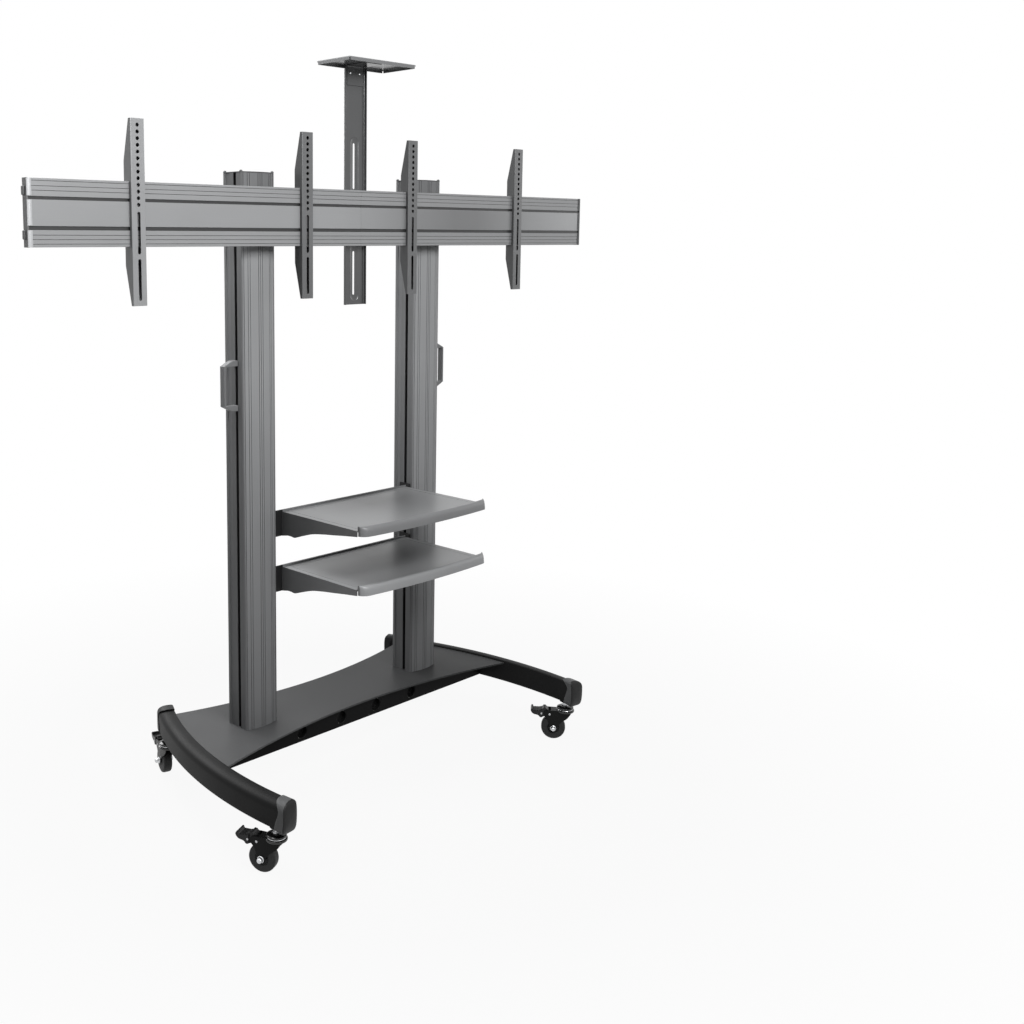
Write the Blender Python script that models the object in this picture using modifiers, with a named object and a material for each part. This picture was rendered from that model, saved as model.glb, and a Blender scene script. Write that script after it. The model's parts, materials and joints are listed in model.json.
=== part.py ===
"""Wheeled floor stand that carries two flat displays side by side.

Metres, Z up, floor at z = 0. X runs along the crossbeam and the displays face -Y.
The origin lies under the middle of the stand's bounding box.
"""
import math

import bmesh
import bpy
from mathutils import Matrix, Vector

# Gap between pieces that touch on the real stand
GAP = 0.0003
# Every height below is measured from a level this far above the floor
DATUM = 0.0045
# Flat outlines are filled at this enlargement, because a fill skips fine steps at true size
FILL_SCALE = 100.0

# Uprights: the column line stands behind the middle of the base
COLUMN_Y = 0.0712
COLUMN_X = 0.3172
COLUMN_HALF_W = 0.0546
COLUMN_HALF_D = 0.0370
COLUMN_BOW = 0.0100
COLUMN_WALL = 0.0035
COLUMN_TOP = 1.6535
SLOT_Y = COLUMN_Y - 0.010
SLOT_W = 0.0107
SLOT_DEPTH = 0.0120
GROMMET_HEIGHTS = {"low": 0.289, "high": 1.4585}
GROMMET_R = 0.0285
GROMMET_HOLE_R = 0.0215

# Base
DECK_TOP = 0.1780
DECK_THICK = 0.0050
DECK_FRONT_CORNER_Y = COLUMN_Y - 0.177
DECK_FRONT_MID_Y = COLUMN_Y - 0.103
DECK_REAR_CORNER_Y = COLUMN_Y + 0.183
DECK_REAR_MID_Y = COLUMN_Y + 0.116
CROSS_HALF_D = 0.0880
CROSS_LOW = 0.1180
CROSS_WALL = 0.0030
CROSS_HOLES_X = (-0.216, -0.068, 0.068, 0.216)
CROSS_HOLE_R = 0.0190

# Legs: each is bowed on one arc in plan
LEG_ARC_R = 1.180
LEG_APEX_X = 0.568
LEG_APEX_Y = COLUMN_Y - 0.290
LEG_FRONT_Y = COLUMN_Y - 0.4225
LEG_REAR_Y = COLUMN_Y + 0.2252
LEG_HALF_W = 0.0210
LEG_LOW = 0.1165
LEG_TOP = 0.1855
LEG_TOP_ROUND = 0.0140
LEG_CAP_HALF_W = 0.0230
LEG_CAP_LOW = 0.1060
LEG_CAP_TOP = 0.1885
LEG_CAP_LENGTH = 0.0180
# A cap's lower wall reaches back under the leg and carries the caster stem
LEG_CAP_SEAT = 0.0420
STEM_IN_LEG = 0.0280
STEM_TOP = 0.1480
# Room that the cap's collar leaves round the bowed leg
LEG_FIT = 0.0008

# Crossbeam: two halves that meet in the middle
BEAM_HALF_L = 0.9950
BEAM_LOW = 1.4680
BEAM_TOP = 1.6170
BEAM_FRONT_Y = COLUMN_Y - 0.0890
BEAM_REAR_Y = COLUMN_Y - 0.0730
BEAM_CAP_THICK = 0.0040
BEAM_CAP_FLANGE = 0.0130
BEAM_PAD_OUT = 0.0045
JOINT_HALF_L = 0.4650
JOINT_LOW = 1.4875
JOINT_TOP = 1.6000
JOINT_THICK = 0.0025
BRACKET_THICK = 0.0040
BRACKET_OUT_X = 0.4080
BRACKET_LOW = 1.4940
BRACKET_TOP = 1.5930
BRACKET_EAR_REAR_Y = COLUMN_Y + 0.008

# Display brackets that hook over the beam
VESA_X = (-0.717, -0.200, 0.194, 0.663)
VESA_HALF_W = 0.01925
VESA_LOW = 1.3320
VESA_TOP = 1.7590
VESA_FRONT_Y = COLUMN_Y - 0.0980
VESA_REAR_Y = COLUMN_Y - 0.0680
VESA_END_DEPTH = 0.0080
VESA_KINKS = (1.425, 1.664)
VESA_HOOKS = (1.482, 1.604)
VESA_SHEET = 0.0020
VESA_HOLE_R = 0.0045
VESA_HOLE_TOP = 1.7440
VESA_HOLE_PITCH = 0.0150
VESA_HOLE_COUNT = 13
VESA_SLOTS = ((1.451, 1.548), (1.344, 1.440))
VESA_SLOT_HALF_W = 0.0040

# Camera holder behind the middle of the beam
BAR_HALF_W = 0.0390
BAR_FRONT_Y = COLUMN_Y - 0.0699
BAR_REAR_Y = COLUMN_Y - 0.0599
BAR_LOW = 1.3080
BAR_TOP = 1.9450
BAR_SHEET = 0.0025
BAR_RIM_HALF_W = 0.0170
BAR_RIM = (1.3165, 1.7605)
BAR_RIM_RISE = 0.0020
BAR_SLOTS = ((1.3345, 1.454), (1.4796, 1.596), (1.621, 1.744))
BAR_SLOT_HALF_W = 0.0040
BAR_BOLT_Z = {"low": 1.505, "high": 1.5845}
BAR_BOLT_R = 0.0034
CAMERA_SHELF_HALF_W = 0.1220
CAMERA_SHELF_FRONT_Y = COLUMN_Y - 0.172
CAMERA_SHELF_REAR_Y = COLUMN_Y - 0.047
CAMERA_SHELF_TOP = 1.9500
CAMERA_SHELF_LIP = 0.0100
CAMERA_SHELF_SHEET = 0.0020
CAMERA_TAB_HALF_W = 0.0300
CAMERA_TAB_LOW = 1.8950
CAMERA_TAB_FRONT_Y = COLUMN_Y - 0.1350

# Side handles on the outer slots
HANDLE_OUT_X = 0.4170
HANDLE_LOW = 1.0430
HANDLE_TOP = 1.1750
HANDLE_HALF_D = 0.0090
HANDLE_GRIP = 0.0055
HANDLE_FOOT = 0.0150
HANDLE_RISE = 0.0180
HANDLE_ELBOW_IN = 0.0270

# Shelves: height of each tray's top
SHELF_TOPS = {"upper": 0.758, "lower": 0.605}
TRAY_HALF_W = 0.2400
TRAY_FRONT_Y = COLUMN_Y - 0.3300
TRAY_BOW = 0.0130
TRAY_SHEET = 0.0020
TRAY_ARM_DROP = 0.0670
RAIL_FRONT_Y = COLUMN_Y - 0.0340
RAIL_DEPTH = 0.0070
RAIL_RISE = 0.0050
RAIL_FLANGE_REAR_Y = COLUMN_Y + 0.009
RAIL_SHEET = 0.0025

# Casters
WHEEL_R = 0.0355
WHEEL_HALF_W = 0.0125
AXLE_Z = WHEEL_R - DATUM
CASTER_TRAIL = 0.0340
CASTER_HEAD_TOP = 0.0980
STEM_R = 0.0055
FORK_GAP_HALF = 0.0140
FORK_SHEET = 0.0022
AXLE_R = 0.0040
PEDAL_PIN_R = 0.0024
PEDAL_PIVOT_AFT = 0.0455
PEDAL_PIVOT_Z = 0.0730
CASTERS = {
    "front_left": (-1, -1, 114.0),
    "front_right": (1, -1, 127.0),
    "rear_left": (-1, 1, 73.0),
    "rear_right": (1, 1, 109.0),
}

for old in list(bpy.data.objects):
    bpy.data.objects.remove(old, do_unlink=True)


def new_collection(name):
    """Collection linked to the scene."""
    made = bpy.data.collections.new(name)
    bpy.context.scene.collection.children.link(made)
    return made


PARTS = new_collection("dual_tv_floor_stand")
CUTTERS = new_collection("cutters")


def material(name, shade, roughness, metallic=0.0):
    """Neutral grey Principled material."""
    made = bpy.data.materials.new(name)
    made.use_nodes = True
    shader = made.node_tree.nodes["Principled BSDF"]
    shader.inputs["Base Color"].default_value = (shade, shade, shade, 1.0)
    shader.inputs["Roughness"].default_value = roughness
    shader.inputs["Metallic"].default_value = metallic
    return made


GREY_EXTRUSION = material("grey_extrusion", 0.33, 0.42, 0.6)
DECK_PAINT = material("deck_paint", 0.10, 0.45, 0.2)
LEG_PAINT = material("leg_paint", 0.025, 0.6)
CAP_PLASTIC = material("cap_plastic", 0.12, 0.38)
BLACK_PLASTIC = material("black_plastic", 0.02, 0.5)
BLACK_STEEL = material("black_steel", 0.02, 0.4, 0.3)
GREY_STEEL = material("grey_steel", 0.20, 0.42, 0.5)
TRAY_PAINT = material("tray_paint", 0.18, 0.38, 0.4)
BAR_PAINT = material("bar_paint", 0.09, 0.3, 0.5)
ZINC = material("zinc", 0.62, 0.25, 1.0)
TYRE_RUBBER = material("tyre_rubber", 0.02, 0.65)


def bm_to_mesh(bm, name):
    """Finish a bmesh as mesh data with outward faces."""
    bmesh.ops.remove_doubles(bm, verts=bm.verts, dist=0.00001)
    bmesh.ops.recalc_face_normals(bm, faces=bm.faces)
    mesh = bpy.data.meshes.new(name)
    bm.to_mesh(mesh)
    bm.free()
    return mesh


def evaluated_mesh(holder):
    """Mesh of an object with its modifiers or curve settings applied, object removed."""
    bpy.context.scene.collection.objects.link(holder)
    depsgraph = bpy.context.evaluated_depsgraph_get()
    mesh = bpy.data.meshes.new_from_object(holder.evaluated_get(depsgraph))
    bpy.data.objects.remove(holder)
    bm = bmesh.new()
    bm.from_mesh(mesh)
    bpy.data.meshes.remove(mesh)
    return bm_to_mesh(bm, "shape")


def new_curve(loops, dimensions, cyclic):
    """Poly curve data through each loop of points."""
    curve = bpy.data.curves.new("outline", "CURVE")
    curve.dimensions = dimensions
    for loop in loops:
        spline = curve.splines.new("POLY")
        spline.points.add(len(loop) - 1)
        spline.use_cyclic_u = cyclic
        for point, place in zip(spline.points, loop):
            point.co = (*Vector(place).to_3d(), 1.0)
    return curve


PRISM_TURNS = {
    "X": Matrix.Rotation(math.radians(90), 4, "Z") @ Matrix.Rotation(math.radians(90), 4, "X"),
    "Y": Matrix.Rotation(math.radians(90), 4, "X"),
    "Z": Matrix.Identity(4),
}
AXES = {"X": Vector((1, 0, 0)), "Y": Vector((0, 1, 0)), "Z": Vector((0, 0, 1))}


def prism(loops, low, high, along="Z"):
    """Flat outlines extruded from low to high along one axis.

    Outline points are (x, y) along Z, (y, z) along X and (x, z) along Y.
    """
    enlarged = [[(u * FILL_SCALE, v * FILL_SCALE) for u, v in loop] for loop in loops]
    curve = new_curve(enlarged, "2D", True)
    curve.fill_mode = "BOTH"
    curve.extrude = FILL_SCALE * (high - low) / 2
    mesh = evaluated_mesh(bpy.data.objects.new("outline", curve))
    middle = Matrix.Translation(AXES[along] * (low + high) / 2)
    mesh.transform(middle @ PRISM_TURNS[along] @ Matrix.Scale(1 / FILL_SCALE, 4))
    return mesh


def sweep(path, section):
    """Closed section carried along an open path that lies in a level plane."""
    ring = new_curve([section], "2D", True)
    guide = bpy.data.objects.new("section", ring)
    bpy.context.scene.collection.objects.link(guide)
    curve = new_curve([path], "3D", False)
    curve.twist_mode = "Z_UP"
    curve.bevel_mode = "OBJECT"
    curve.bevel_object = guide
    curve.use_fill_caps = True
    mesh = evaluated_mesh(bpy.data.objects.new("rail", curve))
    bpy.data.objects.remove(guide)
    return mesh


def box(low, high):
    """Block between two corners."""
    low = Vector(low)
    high = Vector(high)
    bm = bmesh.new()
    bmesh.ops.create_cube(bm, size=1.0)
    bmesh.ops.scale(bm, vec=high - low, verts=bm.verts)
    bmesh.ops.translate(bm, vec=(low + high) / 2, verts=bm.verts)
    return bm_to_mesh(bm, "block")


def cylinder(radius, start, end, segments=24):
    """Round bar between two points."""
    start = Vector(start)
    end = Vector(end)
    bm = bmesh.new()
    bmesh.ops.create_cone(
        bm, cap_ends=True, segments=segments, radius1=radius, radius2=radius,
        depth=(end - start).length,
    )
    turn = (end - start).to_track_quat("Z", "Y").to_matrix()
    bmesh.ops.rotate(bm, matrix=turn, verts=bm.verts)
    bmesh.ops.translate(bm, vec=(start + end) / 2, verts=bm.verts)
    return bm_to_mesh(bm, "bar")


def turned(profile, segments=32, along="Z", closed=False):
    """Profile of (radius, height) points, top to bottom, turned about an axis."""
    mesh = bpy.data.meshes.new("profile")
    count = len(profile)
    edges = [(step, step + 1) for step in range(count - 1)]
    if closed:
        edges.append((count - 1, 0))
    mesh.from_pydata([(radius, 0.0, height) for radius, height in profile], edges, [])
    holder = bpy.data.objects.new("profile", mesh)
    screw = holder.modifiers.new("turn", "SCREW")
    screw.steps = segments
    screw.render_steps = segments
    screw.use_merge_vertices = True
    screw.merge_threshold = 0.00001
    made = evaluated_mesh(holder)
    if along == "X":
        made.transform(Matrix.Rotation(math.radians(90), 4, "Y"))
    if along == "Y":
        made.transform(Matrix.Rotation(math.radians(-90), 4, "X"))
    return made


def moved(mesh, offset):
    """Same mesh shifted."""
    mesh.transform(Matrix.Translation(offset))
    return mesh


def mirrored(mesh):
    """Same mesh reflected to the other side of X."""
    mesh.transform(Matrix.Scale(-1, 4, (1, 0, 0)))
    mesh.flip_normals()
    return mesh


def joined(meshes):
    """One mesh holding several separate tools."""
    bm = bmesh.new()
    for mesh in meshes:
        bm.from_mesh(mesh)
    made = bpy.data.meshes.new("group")
    bm.to_mesh(made)
    bm.free()
    return made


def piece(name, mesh, finish, parent=None, at=(0, 0, 0), turn=0.0):
    """Named object in the stand's collection."""
    mesh.name = name
    mesh.materials.clear()
    mesh.materials.append(finish)
    mesh.shade_smooth()
    mesh.set_sharp_from_angle(angle=math.radians(32))
    made = bpy.data.objects.new(name, mesh)
    made.location = Vector(at) + Vector((0, 0, DATUM))
    made.rotation_euler = (0, 0, turn)
    if parent is not None:
        made.parent = parent
        made.matrix_parent_inverse = Matrix.Translation(-parent.location)
    PARTS.objects.link(made)
    return made


def combine(target, mesh, operation):
    """Join a mesh to a piece, or cut it away, with an exact Boolean."""
    tool = bpy.data.objects.new(f"{target.name}_tool", mesh)
    tool.display_type = "WIRE"
    tool.hide_render = True
    tool.parent = target
    CUTTERS.objects.link(tool)
    modifier = target.modifiers.new(operation.lower(), "BOOLEAN")
    modifier.operation = operation
    modifier.solver = "EXACT"
    modifier.object = tool


def cut(target, mesh):
    """Remove a mesh from a piece."""
    combine(target, mesh, "DIFFERENCE")


def fuse(target, mesh):
    """Weld a mesh onto a piece."""
    combine(target, mesh, "UNION")


def arc(centre, radius, start, end, count):
    """Points on a circle from one angle to another, in radians."""
    made = []
    for step in range(count + 1):
        angle = start + (end - start) * step / count
        made.append((centre[0] + radius * math.cos(angle), centre[1] + radius * math.sin(angle)))
    return made


def bowed_line(half_width, end_y, middle_y, count):
    """Points from -X to +X along a shallow arc that passes the middle at middle_y."""
    rise = middle_y - end_y
    made = []
    for step in range(count + 1):
        share = 2 * step / count - 1
        made.append((half_width * share, end_y + rise * (1 - share * share)))
    return made


def obround(middle, low, high, half_width, count=6):
    """Upright slot outline with round ends."""
    top = arc((middle, high - half_width), half_width, 0, math.pi, count)
    bottom = arc((middle, low + half_width), half_width, math.pi, 2 * math.pi, count)
    return top + bottom


def leg_angle(y, offset=0.0):
    """Angle at a given Y on an arc that runs beside the leg's centreline."""
    return math.asin((y - LEG_APEX_Y) / (LEG_ARC_R + offset))


def leg_arc(side, offset, start_y, end_y, count):
    """Plan points along a leg, moved outward from its centreline by an offset."""
    points = arc((LEG_APEX_X - LEG_ARC_R, LEG_APEX_Y), LEG_ARC_R + offset,
                 leg_angle(start_y, offset), leg_angle(end_y, offset), count)
    return [(side * x, y) for x, y in points]


def leg_section(half_width, low, top, top_round, low_round):
    """Upright section with rounded top corners and smaller lower ones, centred on z = 0."""
    half = (top - low) / 2
    points = []
    corners = ((half_width, half, top_round, 0.0, 3), (-half_width, half, top_round, 0.5, 3),
               (-half_width, -half, low_round, 1.0, 2), (half_width, -half, low_round, 1.5, 2))
    for x, z, radius, turn, steps in corners:
        centre = (x - math.copysign(radius, x), z - math.copysign(radius, z))
        points += arc(centre, radius, math.pi * turn, math.pi * (turn + 0.5), steps)
    return points


def build_leg(name, side):
    """Bowed leg tube on one side."""
    path = leg_arc(side, 0.0, LEG_FRONT_Y, LEG_REAR_Y, 14)
    height = (LEG_LOW + LEG_TOP) / 2
    section = leg_section(LEG_HALF_W, LEG_LOW, LEG_TOP, LEG_TOP_ROUND, 0.006)
    leg = piece(name, sweep([(x, y, height) for x, y in path], section), LEG_PAINT)
    bores = [cylinder(STEM_R + GAP, (*stem_point(side, end), LEG_LOW - 0.02),
                      (*stem_point(side, end), STEM_TOP + GAP), 16) for end in (-1, 1)]
    cut(leg, joined(bores))


def leg_end(side, end):
    """Plan point of a leg end and the turn that points a cap's +Y outward along the leg."""
    y = LEG_FRONT_Y if end < 0 else LEG_REAR_Y
    angle = leg_angle(y)
    x = LEG_APEX_X - LEG_ARC_R + LEG_ARC_R * math.cos(angle)
    turn = angle if end > 0 else angle + math.pi
    return (side * x, y), side * turn


def stem_point(side, end):
    """Plan point of a caster stem, a little inside its leg's end."""
    (x, y), turn = leg_end(side, end)
    return x + math.sin(turn) * STEM_IN_LEG, y - math.cos(turn) * STEM_IN_LEG


def build_leg_cap(name, side, end):
    """Moulded cap with a hollow collar edge and a wall under the leg that takes the stem."""
    (x, y), turn = leg_end(side, end)
    length = LEG_CAP_LENGTH
    outline = [
        (-0.0250, LEG_CAP_TOP), (-0.0200, 0.1840), (-0.0090, 0.1760), (-0.0025, 0.1650),
        (-0.0035, 0.1560), (-0.0080, 0.1440), (-0.0130, 0.1300), (-0.0160, 0.1165),
        (-LEG_CAP_SEAT, 0.1150), (-LEG_CAP_SEAT, LEG_CAP_LOW), (length - 0.0140, LEG_CAP_LOW),
        (length - 0.0060, 0.1120), (length - 0.0015, 0.1300), (length, 0.1500),
        (length - 0.0005, 0.1700), (length - 0.0035, 0.1835), (length - 0.0080, LEG_CAP_TOP),
    ]
    cap = piece(name, prism([outline], -LEG_CAP_HALF_W, LEG_CAP_HALF_W, "X"), CAP_PLASTIC,
                at=(x, y, 0), turn=turn)
    section = leg_section(LEG_CAP_HALF_W, LEG_CAP_LOW - 0.001, LEG_CAP_TOP, 0.0155, 0.009)
    middle = (LEG_CAP_LOW - 0.001 + LEG_CAP_TOP) / 2
    shell = prism([[(u, v + middle) for u, v in section]], -0.06, length + 0.01, "Y")
    combine(cap, shell, "INTERSECT")
    inner = leg_section(LEG_HALF_W + LEG_FIT, LEG_LOW - LEG_FIT, LEG_TOP + LEG_FIT, LEG_TOP_ROUND, 0.006)
    middle = (LEG_LOW + LEG_TOP) / 2
    cut(cap, prism([[(u, v + middle) for u, v in inner]], -0.06, LEG_FIT, "Y"))
    cut(cap, cylinder(STEM_R + GAP, (0, -STEM_IN_LEG, LEG_CAP_LOW - 0.02), (0, -STEM_IN_LEG, 0.130), 16))


def build_deck():
    """Flat plate between the legs with hollowed front and rear edges."""
    offset = -LEG_HALF_W - GAP
    right = leg_arc(1, offset, DECK_FRONT_CORNER_Y, DECK_REAR_CORNER_Y, 12)
    left = [(-x, y) for x, y in reversed(right)]
    front = bowed_line(right[0][0], DECK_FRONT_CORNER_Y, DECK_FRONT_MID_Y, 20)[1:-1]
    rear = bowed_line(right[-1][0], DECK_REAR_CORNER_Y, DECK_REAR_MID_Y, 20)[1:-1]
    outline = right + list(reversed(rear)) + left + front
    piece("base_deck", prism([outline], DECK_TOP - DECK_THICK, DECK_TOP), DECK_PAINT)


def build_crossmember():
    """Channel under the deck, open below, with round holes in both walls."""
    high = DECK_TOP - DECK_THICK - GAP
    front = COLUMN_Y - CROSS_HALF_D
    rear = COLUMN_Y + CROSS_HALF_D
    right = leg_arc(1, -LEG_HALF_W - GAP, front, rear, 6)
    outline = right + [(-x, y) for x, y in reversed(right)]
    channel = piece("base_crossmember", prism([outline], CROSS_LOW, high), BLACK_STEEL)
    cut(channel, box((-0.6, front + CROSS_WALL, CROSS_LOW - 0.01),
                     (0.6, rear - CROSS_WALL, high - CROSS_WALL)))
    height = (CROSS_LOW + high) / 2
    holes = [cylinder(CROSS_HOLE_R, (x, front - 0.01, height), (x, rear + 0.01, height), 24)
             for x in CROSS_HOLES_X]
    cut(channel, joined(holes))


def column_outline():
    """Outer outline of the extrusion: bowed front, grooved faces, T slots in the sides."""
    def front_y(x):
        return -COLUMN_HALF_D - COLUMN_BOW * (1 - (x / COLUMN_HALF_W) ** 2)

    half_w = COLUMN_HALF_W
    corner = 0.0025
    # Each front groove: middle, half width, depth
    grooves = ((0.0487, 0.0007, 0.0012), (0.0347, 0.0030, 0.0018), (0.0065, 0.0008, 0.0012))
    front = [(-half_w + corner, -COLUMN_HALF_D)]
    for x, half, depth in grooves:
        outer = front_y(x + half)
        inner = front_y(x - half)
        front += [(-x - half, outer), (-x - half, outer + depth)]
        front += [(-x + half, inner + depth), (-x + half, inner)]
        if half > 0.002:
            front.append((-0.019, front_y(0.019)))
    front += [(-0.0008, front_y(0)), (-0.0008, front_y(0) + 0.0012)]
    front += [(-x, y) for x, y in reversed(front)]
    slot_y = SLOT_Y - COLUMN_Y
    slot = SLOT_W / 2
    lip = 0.0025
    side = [
        (half_w, -COLUMN_HALF_D + corner), (half_w, -0.0290), (half_w - 0.001, -0.0285),
        (half_w - 0.001, slot_y - slot), (half_w - lip, slot_y - slot),
        (half_w - lip, slot_y - slot - 0.004), (half_w - SLOT_DEPTH, slot_y - slot - 0.001),
        (half_w - SLOT_DEPTH, slot_y + slot + 0.001), (half_w - lip, slot_y + slot + 0.004),
        (half_w - lip, slot_y + slot), (half_w - 0.001, slot_y + slot),
        (half_w - 0.001, 0.0105), (half_w - 0.0022, 0.0110), (half_w - 0.0022, 0.0265),
        (half_w, 0.0270), (half_w, COLUMN_HALF_D - corner),
    ]
    rear = [(half_w - corner, COLUMN_HALF_D)]
    for x in (0.0075, 0.0, -0.0075):
        rear += [(x + 0.0008, COLUMN_HALF_D), (x + 0.0008, COLUMN_HALF_D - 0.0012)]
        rear += [(x - 0.0008, COLUMN_HALF_D - 0.0012), (x - 0.0008, COLUMN_HALF_D)]
    rear.append((-half_w + corner, COLUMN_HALF_D))
    return front + side + rear + [(-x, y) for x, y in reversed(side)]


def column_cavity():
    """Inner outline of the extrusion."""
    half_w = COLUMN_HALF_W - SLOT_DEPTH - COLUMN_WALL
    low = -COLUMN_HALF_D - 0.003
    high = COLUMN_HALF_D - COLUMN_WALL
    return [(-half_w, low + 0.004), (-half_w + 0.008, low), (half_w - 0.008, low), (half_w, low + 0.004),
            (half_w, high), (-half_w, high)]


def build_column(name, side):
    """Hollow upright with cable holes in its rear wall."""
    low = DECK_TOP + GAP
    column = piece(name, prism([column_outline(), column_cavity()], low, COLUMN_TOP), GREY_EXTRUSION,
                   at=(side * COLUMN_X, COLUMN_Y, 0))
    holes = [cylinder(GROMMET_HOLE_R + 0.0023, (0, 0.02, z), (0, 0.06, z), 20)
             for z in GROMMET_HEIGHTS.values()]
    cut(column, joined(holes))


def build_column_cap(name, side):
    """Dark top plate with a domed bump on each corner."""
    low = COLUMN_TOP + GAP
    high = low + 0.0025
    inset = 0.0006
    front = bowed_line(COLUMN_HALF_W - inset, -COLUMN_HALF_D, -COLUMN_HALF_D - COLUMN_BOW + inset, 8)
    outline = front + [(COLUMN_HALF_W - inset, COLUMN_HALF_D - inset),
                       (-COLUMN_HALF_W + inset, COLUMN_HALF_D - inset)]
    cap = piece(name, prism([outline], low, high), BLACK_PLASTIC, at=(side * COLUMN_X, COLUMN_Y, 0))
    radius = 0.0045
    dome = [(0.0, high + 0.0040), (0.0028, high + 0.0030), (radius, high + 0.0005), (radius, low + 0.0004),
            (0.0, low + 0.0004)]
    bumps = []
    for x in (-1, 1):
        for y in (-1, 1):
            spot = (x * (COLUMN_HALF_W - radius + 0.0008), y * (COLUMN_HALF_D - radius + 0.0008), 0)
            bumps.append(moved(turned(dome, 10), spot))
    fuse(cap, joined(bumps))


def build_grommet(name, side, height):
    """Cable grommet pushed into the rear wall of a column."""
    sleeve = GROMMET_HOLE_R + 0.0020
    profile = [
        (GROMMET_R - 0.0010, 0.0025), (GROMMET_R, 0.0010), (GROMMET_R, 0.0), (sleeve, 0.0),
        (sleeve, -0.0050), (GROMMET_HOLE_R, -0.0050), (GROMMET_HOLE_R, 0.0025),
    ]
    spot = (side * COLUMN_X, COLUMN_Y + COLUMN_HALF_D + GAP, height)
    piece(name, turned(profile, 20, "Y", closed=True), BLACK_PLASTIC, at=spot)


def build_handle(name, side):
    """Bent grip on a column's outer slot."""
    root = COLUMN_X + COLUMN_HALF_W + GAP
    inner = HANDLE_OUT_X - HANDLE_GRIP
    elbow = HANDLE_OUT_X - HANDLE_ELBOW_IN
    outline = [
        (root, HANDLE_LOW), (elbow, HANDLE_LOW), (HANDLE_OUT_X, HANDLE_LOW + HANDLE_RISE),
        (HANDLE_OUT_X, HANDLE_TOP - HANDLE_RISE), (elbow, HANDLE_TOP), (root, HANDLE_TOP),
        (root, HANDLE_TOP - HANDLE_FOOT), (inner, HANDLE_TOP - HANDLE_FOOT - 0.001),
        (inner, HANDLE_LOW + HANDLE_FOOT + 0.001), (root, HANDLE_LOW + HANDLE_FOOT),
    ]
    shape = prism([outline], SLOT_Y - HANDLE_HALF_D, SLOT_Y + HANDLE_HALF_D, "Y")
    if side < 0:
        shape = mirrored(shape)
    piece(name, shape, GREY_STEEL)


def grooved_face(y, inward, top, grooves):
    """Points down one face of the beam: each groove is (drop from the top, half width, depth)."""
    points = []
    for drop, half, depth in grooves:
        z = top - drop
        points += [(y, z + half), (y + inward * depth, z + half)]
        points += [(y + inward * depth, z - half), (y, z - half)]
    return points


def tee_slot(y, z):
    """Points down the beam's rear face across one T slot in its shallow band."""
    upper = [(y, 0.0097), (y - 0.0015, 0.0097), (y - 0.0015, 0.004), (y - 0.004, 0.004),
             (y - 0.004, 0.007), (y - 0.009, 0.007)]
    lower = [(at, -rise) for at, rise in reversed(upper)]
    return [(at, z + rise) for at, rise in upper + lower]


def beam_outline():
    """Section of the beam extrusion in (y, z)."""
    fine = (0.0006, 0.0010)
    front = [(BEAM_FRONT_Y, BEAM_TOP)]
    front += grooved_face(BEAM_FRONT_Y, 1, BEAM_TOP, (
        (0.0057, *fine), (0.0168, *fine), (0.0267, *fine), (0.0425, 0.0037, 0.0030),
        (0.1073, 0.0044, 0.0030), (0.1226, *fine), (0.1323, *fine), (0.1421, *fine)))
    front.append((BEAM_FRONT_Y, BEAM_LOW))
    rear = [(BEAM_REAR_Y, BEAM_TOP)]
    rear += tee_slot(BEAM_REAR_Y, BEAM_TOP - 0.0268)
    rear += grooved_face(BEAM_REAR_Y, -1, BEAM_TOP, ((0.0377, 0.0006, 0.001), (0.1105, 0.0006, 0.001)))
    rear += tee_slot(BEAM_REAR_Y, BEAM_TOP - 0.1214)
    rear.append((BEAM_REAR_Y, BEAM_LOW))
    return front + list(reversed(rear))


def build_beam_half(name, side, parent):
    """One half of the crossbeam, from the middle seam to its end cap."""
    length = BEAM_HALF_L - BEAM_CAP_THICK - GAP
    shape = prism([beam_outline()], GAP / 2, length, "X")
    if side < 0:
        shape = mirrored(shape)
    piece(name, shape, GREY_EXTRUSION, parent)


def build_beam_cap(name, side, parent):
    """End plate with two proud pads, and a flange with two ears behind the beam."""
    inner = BEAM_HALF_L - BEAM_CAP_THICK
    edge = 0.0004
    seat = BEAM_REAR_Y + GAP
    rear = BEAM_REAR_Y + 0.0018
    low = BEAM_LOW - edge
    high = BEAM_TOP + edge
    plate = box((inner, BEAM_FRONT_Y - edge, low), (BEAM_HALF_L, rear, high))
    flange = box((BEAM_HALF_L - BEAM_CAP_FLANGE, seat, low), (BEAM_HALF_L - 0.001, rear, high))
    proud = []
    for z in (BEAM_LOW + 0.0165, BEAM_TOP - 0.0375):
        proud.append(box((BEAM_HALF_L - 0.001, rear - 0.0105, z),
                         (BEAM_HALF_L + BEAM_PAD_OUT, rear - 0.0010, z + 0.0210)))
    ear = BEAM_HALF_L - BEAM_CAP_FLANGE - 0.0035
    for start, end in ((BEAM_LOW - 0.0002, BEAM_LOW + 0.0150), (BEAM_TOP - 0.0150, BEAM_TOP + 0.0002)):
        proud.append(box((ear, seat, start), (BEAM_HALF_L - 0.002, rear + 0.0007, end)))
    proud = joined(proud)
    if side < 0:
        plate = mirrored(plate)
        flange = mirrored(flange)
        proud = mirrored(proud)
    cap = piece(name, plate, GREY_STEEL, parent)
    fuse(cap, flange)
    fuse(cap, proud)


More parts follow.
